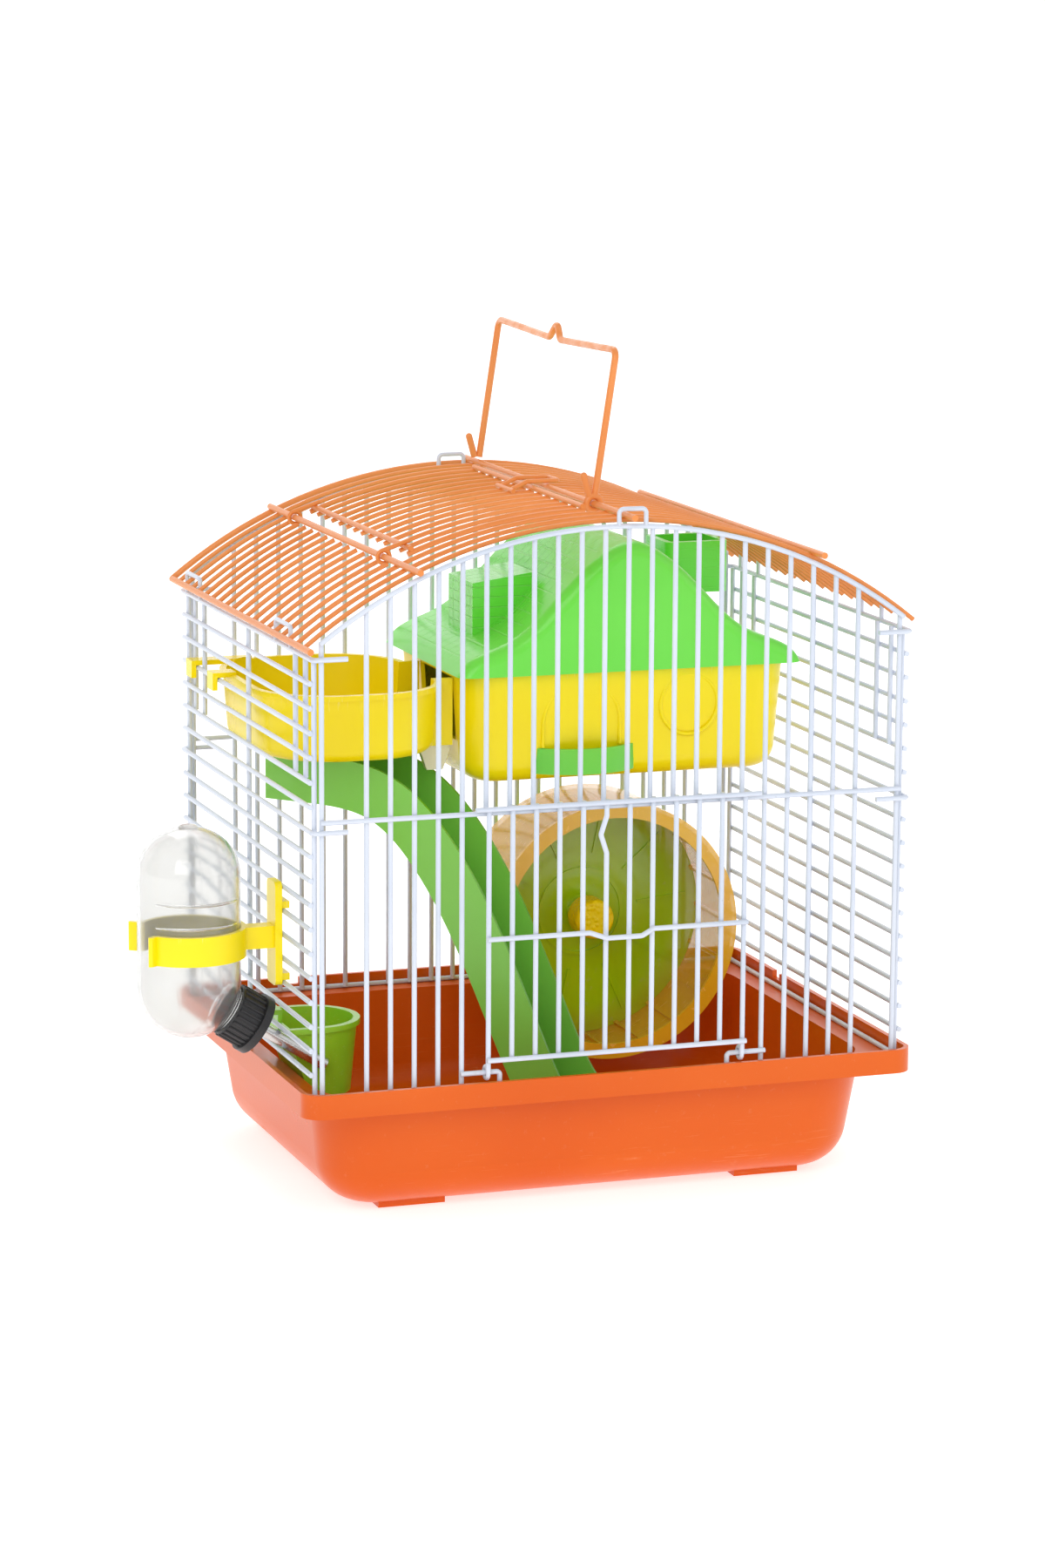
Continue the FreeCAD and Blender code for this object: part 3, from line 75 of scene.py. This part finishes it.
class Look:
    """One procedural material, drawn in the object's own coordinates. Keywords set fixed
    values of the Principled shader; node() adds any other shader node."""

    def __init__(self, name, **fixed):
        self.material = bpy.data.materials.new(name)
        self.material.use_nodes = True
        self.tree = self.material.node_tree
        self.shader = self.tree.nodes["Principled BSDF"]
        for key, value in fixed.items():
            self.shader.inputs[key.replace("_", " ")].default_value = value
        self.at = self.node("ShaderNodeTexCoord", output="Object")

    def feed(self, socket, value):
        if isinstance(value, Value):
            self.tree.links.new(value.socket, socket)
        else:
            socket.default_value = value

    def node(self, kind, settings=None, inputs=None, output=0):
        node = self.tree.nodes.new(kind)
        for key, value in (settings or {}).items():
            setattr(node, key, value)
        for key, value in (inputs or {}).items():
            self.feed(node.inputs[key], value)
        return Value(self, node.outputs[output])

    def axes(self):
        split = self.node("ShaderNodeSeparateXYZ", inputs={"Vector": self.at})
        return [Value(self, out) for out in split.socket.node.outputs]

    def stretched(self, x, y, z):
        return self.node("ShaderNodeVectorMath", {"operation": "MULTIPLY"}, {0: self.at, 1: (x, y, z)})

    def noise(self, scale, detail=2.0, rough=0.5, place=None):
        inputs = {"Vector": place or self.at, "Scale": scale, "Detail": detail, "Roughness": rough}
        return self.node("ShaderNodeTexNoise", inputs=inputs)

    def cells(self, scale):
        return self.node("ShaderNodeTexVoronoi", inputs={"Vector": self.at, "Scale": scale})

    def tint(self, share, first, second):
        """Colour between first and second."""
        node = self.tree.nodes.new("ShaderNodeMix")
        node.data_type = "RGBA"
        for index, value in ((0, share), (6, first), (7, second)):
            if isinstance(value, tuple):
                value = (*value, 1.0)
            self.feed(node.inputs[index], value)
        return Value(self, node.outputs[2])

    def finish(self, colour, rough, height, depth, strength=1.0, **more):
        """Colour, roughness and a surface relief whose height of 1 is depth metres."""
        self.feed(self.shader.inputs["Base Color"], colour)
        self.feed(self.shader.inputs["Roughness"], rough)
        bump = self.node("ShaderNodeBump", inputs={"Height": height, "Distance": depth, "Strength": strength})
        self.feed(self.shader.inputs["Normal"], bump)
        for key, value in more.items():
            self.feed(self.shader.inputs[key.replace("_", " ")], value)
        return self.material

    def patches(self, noise, first, second):
        """Broad soft patches of two colours."""
        return self.tint(noise.step(0.3, 0.7), first, second)

    def from_axis(self, middle):
        """Distance from the line through middle that runs along Y."""
        x, y, z = self.axes()
        dx = x - middle.x
        dz = z - middle.z
        return (dx * dx + dz * dz) ** 0.5

    def scratches(self, x, y, z):
        """Thin lines, long where the stretch is small."""
        lines = self.noise(1.0, 3.0, 0.6, self.stretched(x, y, z))
        return lines.step(0.62, 0.70)


def waves(place, pitch):
    """Sine wave that repeats every pitch metres."""
    return (place * (2 * math.pi / pitch)).sine()


def dress(names, material):
    for name in names:
        data = nodes[name].data
        data.materials.clear()
        data.materials.append(material)


def grid_piece(name, points, body, material, closed_u=False, closed_v=False):
    """Mesh from a rows x columns x 3 array of points; closed directions join up."""
    rows, columns = points.shape[:2]
    index = np.arange(rows * columns).reshape(rows, columns)
    if closed_u:
        index = np.concatenate([index, index[:1]], 0)
    if closed_v:
        index = np.concatenate([index, index[:, :1]], 1)
    quads = np.stack([index[:-1, :-1], index[:-1, 1:], index[1:, 1:], index[1:, :-1]], -1)
    mesh = bpy.data.meshes.new(name)
    mesh.from_pydata(points.reshape(-1, 3), [], quads.reshape(-1, 4))
    mesh.shade_smooth()
    mesh.materials.append(material)
    piece = bpy.data.objects.new(name, mesh)
    bpy.context.scene.collection.objects.link(piece)
    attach(piece, body)
    return piece


# ---- tray -----------------------------------------------------------------------------------
# One deep injection moulding in glossy orange plastic. Its flat faces show a faint orange peel,
# flow lines from the gate in the floor, and fine scratches low on the outside and in the basin.
tray = Look("tray_plastic", Specular_IOR_Level=0.28, Subsurface_Weight=0.06, Coat_Roughness=0.12)
tray.shader.inputs["Subsurface Radius"].default_value = (0.004, 0.0015, 0.0006)
z = tray.axes()[2]
cloud = tray.noise(9.0, 3.0)
flow = tray.noise(6.0, 2.0, 0.5, tray.stretched(1.0, 1.0, 5.0))
peel = tray.noise(700.0, 2.0)
scuff = tray.scratches(60.0, 60.0, 900.0) * (1.0 - z.step(0.0, 0.045)) * cloud.step(0.4, 0.6)
dust = tray.noise(260.0, 4.0, 0.7).step(0.60, 0.74)
colour = tray.patches(cloud, (0.68, 0.098, 0.001), (0.72, 0.116, 0.003))
colour = tray.tint(flow.step(0.45, 0.6) * 0.25, colour, (0.74, 0.135, 0.010))
colour = tray.tint(scuff * 0.22, colour, (0.95, 0.42, 0.20))
colour = tray.tint(dust * 0.06, colour, (0.95, 0.60, 0.40))
rough = 0.24 + cloud * 0.10 + scuff * 0.2 + dust * 0.08
height = peel * 0.5 + flow * 0.6 - scuff * 0.5
dress(["tray"], tray.finish(colour, rough, height, 0.00012, 0.6, Coat_Weight=0.06 - scuff * 0.05))

# ---- wire walls and door --------------------------------------------------------------------
# Spot-welded steel wire dipped in white powder coat. The coat has a faint orange peel, gathers
# in beads and runs, and picks up a little grime towards the tray.
wire = Look("white_coat", Specular_IOR_Level=0.5, Coat_Roughness=0.2)
z = wire.axes()[2]
peel = wire.noise(1500.0, 2.0)
runs = wire.noise(1.0, 2.0, 0.5, wire.stretched(420.0, 420.0, 90.0))
grime = wire.noise(130.0, 4.0, 0.65).step(0.52, 0.72) * (1.0 - z.step(0.055, 0.085))
patch = wire.noise(14.0, 3.0)
chip = wire.noise(520.0, 2.0, 0.5).step(0.79, 0.81)
colour = wire.tint(patch.step(0.35, 0.65), (0.58, 0.64, 0.75), (0.66, 0.71, 0.81))
colour = wire.tint(grime * 0.35, colour, (0.50, 0.44, 0.38))
colour = wire.tint(chip * 0.6, colour, (0.42, 0.42, 0.44))
rough = 0.30 + patch * 0.14 + grime * 0.2
white_coat = wire.finish(colour, rough, peel * 0.35 + runs * 1.1 - chip, 0.00016, 0.7,
                         Coat_Weight=0.3 - grime * 0.3)
dress(["front_wall", "back_wall", "left_wall", "right_wall", "front_door"], white_coat)

# ---- roof, hatch and handle -----------------------------------------------------------------
# The same wire in a peach-orange coat. It is a little thicker on the frame wires; the handle's
# grip and the hatch's finger pull are rubbed smoother where hands hold them.
peach = Look("peach_coat", Specular_IOR_Level=0.5, Coat_Roughness=0.22)
z = peach.axes()[2]
peel = peach.noise(1400.0, 2.0)
runs = peach.noise(1.0, 2.0, 0.5, peach.stretched(60.0, 300.0, 300.0))
patch = peach.noise(16.0, 3.0)
worn = z.step(0.352, 0.362) * peach.noise(120.0, 3.0).step(0.4, 0.6)
speck = peach.noise(610.0, 2.0).step(0.76, 0.79)
colour = peach.tint(patch.step(0.35, 0.65), (0.76, 0.235, 0.045), (0.81, 0.275, 0.065))
colour = peach.tint(worn * 0.35, colour, (0.86, 0.38, 0.18))
colour = peach.tint(speck * 0.35, colour, (0.45, 0.12, 0.04))
rough = 0.36 + patch * 0.12 - worn * 0.12
peach_coat = peach.finish(colour, rough, peel * 0.4 + runs, 0.00016, 0.7, Coat_Weight=0.15 + worn * 0.2)
dress(["roof", "roof_hatch", "carry_handle"], peach_coat)

# ---- house box, tub, hub cap, bracket and bottle ring ---------------------------------------
# Thin injection mouldings in one bright yellow plastic that lets a little light through. Broad
# clouds of pigment, sink marks behind the ribs, and rub marks along the rims.
def yellow_look(name, rim_z, fall, marks):
    """Yellow plastic whose rim at height rim_z is rubbed paler over fall metres. marks makes
    the piece's own relief from its look and the height z."""
    look = Look(name, Specular_IOR_Level=0.32, Subsurface_Weight=0.08, Coat_Roughness=0.1)
    look.shader.inputs["Subsurface Radius"].default_value = (0.006, 0.005, 0.001)
    height = look.axes()[2]
    cloud = look.noise(11.0, 3.0)
    sink = look.noise(30.0, 1.0)
    peel = look.noise(900.0, 2.0)
    rub = look.scratches(900.0, 900.0, 60.0) * height.step(rim_z - fall, rim_z)
    tone = look.patches(cloud, (0.93, 0.72, 0.001), (0.97, 0.80, 0.004))
    tone = look.tint(rub * 0.3, tone, (1.0, 0.90, 0.40))
    tone = look.tint(look.noise(300.0, 4.0, 0.7).step(0.62, 0.75) * 0.08, tone, (0.60, 0.42, 0.05))
    relief = peel * 0.35 + sink * 0.8 - rub * 0.4 + marks(look, height)
    return look.finish(tone, 0.22 + cloud * 0.12 + rub * 0.15, relief, 0.00014, 0.6,
                       Coat_Weight=0.08 + cloud * 0.04)


def top_of(name):
    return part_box(name)[1].z


def level_lines(lines, share):
    """Fine level lines left by the mould."""
    return lambda look, z: (z * lines).sine() * share


def dimples(look, z):
    return look.cells(420.0).step(0.1, 0.6) * -4.0


house_yellow = yellow_look("house_yellow", top_of("house_box"), 0.006, level_lines(2200.0, 0.06))
dress(["house_box"], house_yellow)
tub_yellow = yellow_look("tub_yellow", top_of("upper_tub"), 0.010, level_lines(1500.0, 0.08))
dress(["upper_tub"], tub_yellow)
hub_yellow = yellow_look("hub_yellow", top_of("hub_cap"), 0.004, dimples)
dress(["hub_cap"], hub_yellow)
ring_yellow = yellow_look("ring_yellow", top_of("bottle_ring"), 0.003, level_lines(4000.0, 0.05))
dress(["bottle_ring", "ring_clip", "wheel_bracket"], ring_yellow)

# ---- link clip ------------------------------------------------------------------------------
# Small clip under the tub's neck in an undyed, milky plastic with sprue specks.
clip = Look("milky_plastic", Specular_IOR_Level=0.5, Subsurface_Weight=0.2)
clip.shader.inputs["Subsurface Radius"].default_value = (0.004, 0.003, 0.002)
cloud = clip.noise(60.0, 3.0)
specks = clip.noise(900.0, 2.0).step(0.70, 0.76)
colour = clip.tint(cloud, (0.82, 0.76, 0.50), (0.90, 0.86, 0.66))
colour = clip.tint(specks * 0.3, colour, (0.5, 0.4, 0.2))
dress(["link_clip"], clip.finish(colour, 0.35 + cloud * 0.15, cloud + specks, 0.0001, 0.5))

# ---- house lid and balcony ------------------------------------------------------------------
# Bright green moulding. The slopes carry rows of shallow moulded tiles, clearer on the left slope,
# where their lines are also painted paler as a painted highlight; the rounded front and back edges are plain.
TILE_HEIGHT = 0.009
TILE_WIDTH = 0.016
PLAIN_EDGE = 0.012
EDGE_BLEND = 0.002
lid_low, lid_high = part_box("house_lid")
lid = Look("lid_green", Specular_IOR_Level=0.35, Subsurface_Weight=0.12, Coat_Roughness=0.1)
lid.shader.inputs["Subsurface Radius"].default_value = (0.003, 0.006, 0.002)
x, y, z = lid.axes()
cloud = lid.noise(10.0, 3.0)
peel = lid.noise(900.0, 2.0)
front_edge = lid_low.y + PLAIN_EDGE
back_edge = lid_high.y - PLAIN_EDGE
inside = y.step(front_edge, front_edge + EDGE_BLEND) * (1.0 - y.step(back_edge - EDGE_BLEND, back_edge))
rows = waves(z, TILE_HEIGHT)
shift = rows.above(0.0) * (TILE_WIDTH / 2)
tiles = waves(y + shift, TILE_WIDTH)
tile_groove_and_highlight = (rows.size() * -1.0 + 0.25).step(0.0, 0.25) + (tiles.size() * -1.0 + 0.2).step(0.0, 0.2)
tile_groove_and_highlight = tile_groove_and_highlight.least(1.0) * inside * z.step(lid_low.z + 0.004, lid_low.z + 0.008)
fade = x.step(lid_low.x + 0.060, lid_low.x + 0.085)
tile_groove_and_highlight = tile_groove_and_highlight * (1.0 - fade * 0.75)
colour = lid.patches(cloud, (0.135, 0.74, 0.050), (0.175, 0.81, 0.075))
# Painted highlight: the tile lines are painted paler, most of all on the left slope.
colour = lid.tint(tile_groove_and_highlight * 0.22, colour, (0.42, 0.90, 0.30))
rough = 0.22 + cloud * 0.12 + tile_groove_and_highlight * 0.12
lid_green = lid.finish(colour, rough, peel * 0.08 - tile_groove_and_highlight * 0.9, 0.0005, 0.6, Coat_Weight=0.25)
dress(["house_lid"], lid_green)

# The balcony is a darker green from another mould, with fine level lines.
step_look = Look("balcony_green", Specular_IOR_Level=0.5, Subsurface_Weight=0.1, Coat_Roughness=0.1)
z = step_look.axes()[2]
cloud = step_look.noise(25.0, 3.0)
line = (z * 2600.0).sine()
colour = step_look.tint(cloud, (0.12, 0.60, 0.035), (0.16, 0.68, 0.05))
relief = line * 0.05 + step_look.noise(900.0) * 0.3
dress(["balcony"], step_look.finish(colour, 0.25 + cloud * 0.1, relief, 0.00012, 0.6, Coat_Weight=0.2))

# ---- slide ----------------------------------------------------------------------------------
# Green channel that runs from the tub's hole to the tray. Feet have dulled the middle of its
# floor; its outer side is painted paler: painted light for the light that falls on it and comes through it.
SLIDE_TURN = math.radians(38.0)
slide = Look("slide_green", Specular_IOR_Level=0.5, Subsurface_Weight=0.1, Coat_Roughness=0.12)
slide.shader.inputs["Subsurface Radius"].default_value = (0.002, 0.006, 0.001)
cloud = slide.noise(12.0, 3.0)
peel = slide.noise(850.0, 2.0)
normal = slide.node("ShaderNodeNewGeometry", output="Normal")
up = slide.node("ShaderNodeSeparateXYZ", inputs={"Vector": normal}, output="Z")
painted_light_side = slide.node("ShaderNodeVectorMath", {"operation": "DOT_PRODUCT"},
                   {0: normal, 1: (-math.sin(SLIDE_TURN), -math.cos(SLIDE_TURN), 0.0)}, "Value")
tread = up.step(0.2, 0.5) * slide.scratches(500.0, 500.0, 80.0)
colour = slide.patches(cloud, (0.095, 0.42, 0.012), (0.125, 0.50, 0.02))
# Painted light: the side that faces the front left is painted a paler green.
colour = slide.tint(painted_light_side.step(0.3, 0.8) * 0.85, colour, (0.24, 0.62, 0.085))
colour = slide.tint(tread * 0.3, colour, (0.30, 0.62, 0.12))
rough = 0.25 + cloud * 0.12 + tread * 0.2
dress(["slide"], slide.finish(colour, rough, peel * 0.4 - tread * 0.4, 0.00014, 0.6, Coat_Weight=0.2))

# ---- food cup -------------------------------------------------------------------------------
# Yellow-green cup that hooks over a wire. Teeth and seed have scratched its inside.
cup = Look("cup_green", Specular_IOR_Level=0.5, Subsurface_Weight=0.12, Coat_Roughness=0.12)
cloud = cup.noise(26.0, 3.0)
mark = cup.scratches(700.0, 200.0, 900.0)
colour = cup.patches(cloud, (0.24, 0.58, 0.015), (0.32, 0.68, 0.03))
colour = cup.tint(mark * 0.2, colour, (0.55, 0.75, 0.25))
rough = 0.26 + cloud * 0.12 + mark * 0.15
dress(["food_dish"], cup.finish(colour, rough, cup.noise(900.0) * 0.4 - mark * 0.5, 0.00014, 0.6,
                                Coat_Weight=0.2))

# ---- running wheel --------------------------------------------------------------------------
# The drum is see-through amber plastic with tread marks on its running face. The disc at its
# back is see-through green, with moulded rings; both let the tray show through.
RING_PITCH = 0.0075
wheel_low, wheel_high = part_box("wheel_drum")
wheel_middle = (wheel_low + wheel_high) / 2
drum = Look("amber_plastic", Specular_IOR_Level=0.6, Coat_Roughness=0.05, Coat_Weight=0.4)
y = drum.axes()[1]
radius = drum.from_axis(wheel_middle)
cloud = drum.noise(14.0, 3.0)
wear = drum.scratches(160.0, 900.0, 160.0)
colour = drum.patches(cloud, (0.93, 0.52, 0.015), (0.96, 0.62, 0.03))
colour = drum.tint(wear * 0.25, colour, (0.95, 0.65, 0.25))
front_lip = radius.step(0.0515, 0.0530) * (1.0 - y.step(0.040, 0.042))
alpha = 0.54 + cloud * 0.12 + wear * 0.15 + front_lip * 0.25
dress(["wheel_drum"], drum.finish(colour, 0.12 + cloud * 0.08 + wear * 0.2,
                                  drum.noise(500.0) * 0.3 - wear * 0.4, 0.00012, 0.6, Alpha=alpha))
disc = Look("green_disc", Specular_IOR_Level=0.6, Coat_Roughness=0.06, Coat_Weight=0.35)
radius = disc.from_axis(wheel_middle)
rings = waves(radius, RING_PITCH)
cloud = disc.noise(16.0, 3.0)
wear = disc.scratches(200.0, 200.0, 200.0)
colour = disc.patches(cloud, (0.38, 0.66, 0.001), (0.46, 0.76, 0.004))
colour = disc.tint(radius.step(0.044, 0.058) * 0.5, colour, (0.62, 0.55, 0.01))
colour = disc.tint(wear * 0.2, colour, (0.6, 0.65, 0.2))
alpha = 0.92 + cloud * 0.08 - radius.step(0.046, 0.056) * 0.16
dress(["wheel_disc"], disc.finish(colour, 0.16 + cloud * 0.08, rings * 0.25 + wear * 0.2, 0.0002, 0.6,
                                  Alpha=alpha))

# ---- axle and drinking tube -----------------------------------------------------------------
# Drawn stainless tube and turned pin: fine lines along the length, a rougher tip.
tube_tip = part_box("sipper_tube")[1].x
steel = Look("drawn_steel", Anisotropic=0.4)
x, y, z = steel.axes()
grain = steel.noise(1.0, 3.0, 0.6, steel.stretched(300.0, 2600.0, 2600.0))
smear = steel.noise(220.0, 3.0, 0.6)
lip = x.step(tube_tip - 0.0016, tube_tip - 0.0004) * z.step(0.0, 0.001)
colour = steel.tint(grain, (0.52, 0.52, 0.51), (0.72, 0.72, 0.70))
colour = steel.tint(smear.step(0.5, 0.7) * 0.25, colour, (0.40, 0.38, 0.35))
dress(["sipper_tube", "sipper_ball", "wheel_axle"],
      steel.finish(colour, 0.14 + grain * 0.14 + smear * 0.08 + lip * 0.1, grain, 0.00004, 0.5,
                   Metallic=1.0 - smear.step(0.66, 0.8) * 0.1))

# ---- bottle cap and seal --------------------------------------------------------------------
# Black ribbed screw cap with a fine spark-eroded grain, and the soft washer inside it.
cap = Look("black_plastic", Specular_IOR_Level=0.45)
grain = cap.noise(2400.0, 3.0)
cloud = cap.noise(90.0, 3.0)
dust = cap.noise(420.0, 4.0, 0.7).step(0.58, 0.75)
colour = cap.tint(cloud, (0.012, 0.012, 0.013), (0.022, 0.022, 0.024))
colour = cap.tint(dust * 0.12, colour, (0.22, 0.21, 0.20))
dress(["bottle_cap"], cap.finish(colour, 0.34 + cloud * 0.14 + dust * 0.15, grain, 0.00005, 0.7))
seal = Look("soft_rubber", Specular_IOR_Level=0.35)
bloom = seal.noise(160.0, 4.0, 0.6)
colour = seal.tint(bloom.step(0.4, 0.7), (0.05, 0.05, 0.05), (0.10, 0.10, 0.095))
dress(["bottle_seal"], seal.finish(colour, 0.6 + bloom * 0.2, bloom, 0.00006, 0.5))

# ---- bottle ---------------------------------------------------------------------------------
# Blown bottle in milky clear plastic: thin walls that grey what is behind, blow lines round the
# barrel, a mould seam front and back, and dried water marks below the dome.
bottle_low, bottle_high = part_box("bottle")
ring_low, ring_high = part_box("bottle_ring")
barrel_y = (bottle_low.y + bottle_high.y) / 2
barrel_r = (bottle_high.y - bottle_low.y) / 2
barrel_x = bottle_low.x + barrel_r
clear = Look("milky_clear", IOR=1.40, Specular_IOR_Level=0.5, Transmission_Weight=0.92)
x, y, z = clear.axes()
lines = clear.noise(1.0, 2.0, 0.5, clear.stretched(40.0, 40.0, 700.0))
cloud = clear.noise(45.0, 3.0)
below_dome = 1.0 - z.step(bottle_high.z - 0.05, bottle_high.z - 0.01)
drops = clear.noise(360.0, 3.0, 0.6).step(0.68, 0.76) * below_dome
seam = 1.0 - ((x - barrel_x).size() * 2500.0).least(1.0)
colour = clear.tint(cloud, (0.84, 0.84, 0.83), (0.90, 0.90, 0.89))
colour = clear.tint(drops * 0.25, colour, (0.80, 0.80, 0.78))
dress(["bottle"], clear.finish(colour, 0.05 + cloud * 0.08 + drops * 0.2,
                               lines * 0.2 + seam * 0.5 + drops * 0.2, 0.00006, 0.3))

# Two raised level marks on the barrel's front and the pip left by the mould on its dome.
MARK_RADIUS = 0.0007
MARK_STEPS = 61
SUNK = 0.0001
PIP_RADIUS = 0.0042
PIP_HEIGHT = 0.0016
PIP_SUNK = 0.0004
for number, mark_z in enumerate((ring_high.z + 0.013, ring_high.z + 0.003)):
    turn = np.linspace(math.radians(215), math.radians(325), MARK_STEPS)[:, None]
    around = np.linspace(0, 2 * math.pi, 12, endpoint=False)[None, :]
    swell = MARK_RADIUS * np.sin(np.linspace(0, math.pi, MARK_STEPS))[:, None] ** 0.4
    reach = barrel_r - SUNK + swell * np.cos(around)
    points = np.stack([barrel_x + reach * np.cos(turn), barrel_y + reach * np.sin(turn),
                       mark_z + swell * np.sin(around)], -1)
    piece = grid_piece("level_mark_" + str(number), points, "bottle_unit", clear.material, closed_v=True)
turn = np.linspace(0, 2 * math.pi, 32, endpoint=False)[None, :]
rise = np.linspace(0, 1, 12)[:, None]
reach = PIP_RADIUS * np.sqrt(1 - rise ** 2)
points = np.stack([barrel_x + reach * np.cos(turn), barrel_y + reach * np.sin(turn),
                   bottle_high.z - PIP_SUNK + PIP_HEIGHT * rise + 0 * turn], -1)
piece = grid_piece("mould_pip", points, "bottle_unit", clear.material, closed_v=True)

# ---- studio ---------------------------------------------------------------------------------
# Plain white sweep that glows a little, so that it stays white under the shadows. A wide soft
# key from the front left, a weaker fill from the right and a back light.
WHITE = (1.0, 1.0, 1.0, 1.0)
sweep = Look("white_sweep")
sweep_tone = sweep.tint(sweep.noise(0.8), (0.72, 0.72, 0.72), (0.76, 0.76, 0.76))
sweep.shader.inputs["Emission Color"].default_value = WHITE
sweep.shader.inputs["Emission Strength"].default_value = 0.62
sweep_white = sweep.finish(sweep_tone, 0.8, sweep.noise(300.0), 0.00005, 0.2)
run = np.array([[-2.6, 0.0], [1.2, 0.0], [1.7, 0.03], [2.1, 0.15], [2.4, 0.4], [2.55, 0.8], [2.6, 2.6]])
across = np.array([-3.5, 3.5])
points = np.stack([np.broadcast_to(across[None, :], (len(run), 2)),
                   np.broadcast_to(run[:, :1], (len(run), 2)),
                   np.broadcast_to(run[:, 1:], (len(run), 2))], -1)
mesh = bpy.data.meshes.new("sweep")
index = np.arange(len(run) * 2).reshape(-1, 2)
quads = np.stack([index[:-1, 0], index[:-1, 1], index[1:, 1], index[1:, 0]], -1)
mesh.from_pydata(points.reshape(-1, 3), [], quads)
mesh.shade_smooth()
mesh.materials.append(sweep_white)
floor = bpy.data.objects.new("sweep", mesh)
bpy.context.scene.collection.objects.link(floor)

world = bpy.data.worlds.new("studio")
world.use_nodes = True
background = world.node_tree.nodes["Background"]
background.inputs["Color"].default_value = WHITE
background.inputs["Strength"].default_value = 0.62
bpy.context.scene.world = world
LIT_POINT = Vector((0.0, 0.0, 0.15))
LAMPS = (("key", (-1.2, -2.0, 1.4), 1.6, 23.0), ("fill", (1.9, -1.2, 1.0), 1.8, 8.0),
         ("back", (0.2, 1.5, 2.0), 1.4, 14.0))
for name, place, size, power in LAMPS:
    lamp = bpy.data.lights.new(name, "AREA")
    lamp.size = size
    lamp.energy = power
    holder = bpy.data.objects.new(name, lamp)
    holder.location = place
    holder.rotation_euler = (LIT_POINT - Vector(place)).to_track_quat("-Z", "Y").to_euler()
    bpy.context.scene.collection.objects.link(holder)

# ---- camera ---------------------------------------------------------------------------------
# A long lens from the front left, a little above the roof, turned a third of a degree.
CAMERA_TARGET = Vector((-0.006655, -0.001, 0.16649))
CAMERA_DISTANCE = 2.06992
CAMERA_LENS = 107.09
turn = math.radians(-19.126)
tilt = math.radians(10.747)
roll = math.radians(0.327)
back = Vector((math.sin(turn) * math.cos(tilt), -math.cos(turn) * math.cos(tilt), math.sin(tilt)))
right = Vector((math.cos(turn), math.sin(turn), 0.0))
up = back.cross(right)
right, up = (math.cos(roll) * right + math.sin(roll) * up, math.cos(roll) * up - math.sin(roll) * right)
place = CAMERA_TARGET + back * CAMERA_DISTANCE
camera_data = bpy.data.cameras.new("camera")
camera_data.sensor_fit = "VERTICAL"
camera_data.sensor_height = 36.0
camera_data.lens = CAMERA_LENS
camera = bpy.data.objects.new("camera", camera_data)
camera.matrix_world = Matrix.Translation(place) @ Matrix((right, up, back)).transposed().to_4x4()
bpy.context.scene.collection.objects.link(camera)
bpy.context.scene.camera = camera
bpy.context.scene.view_settings.view_transform = "Standard"
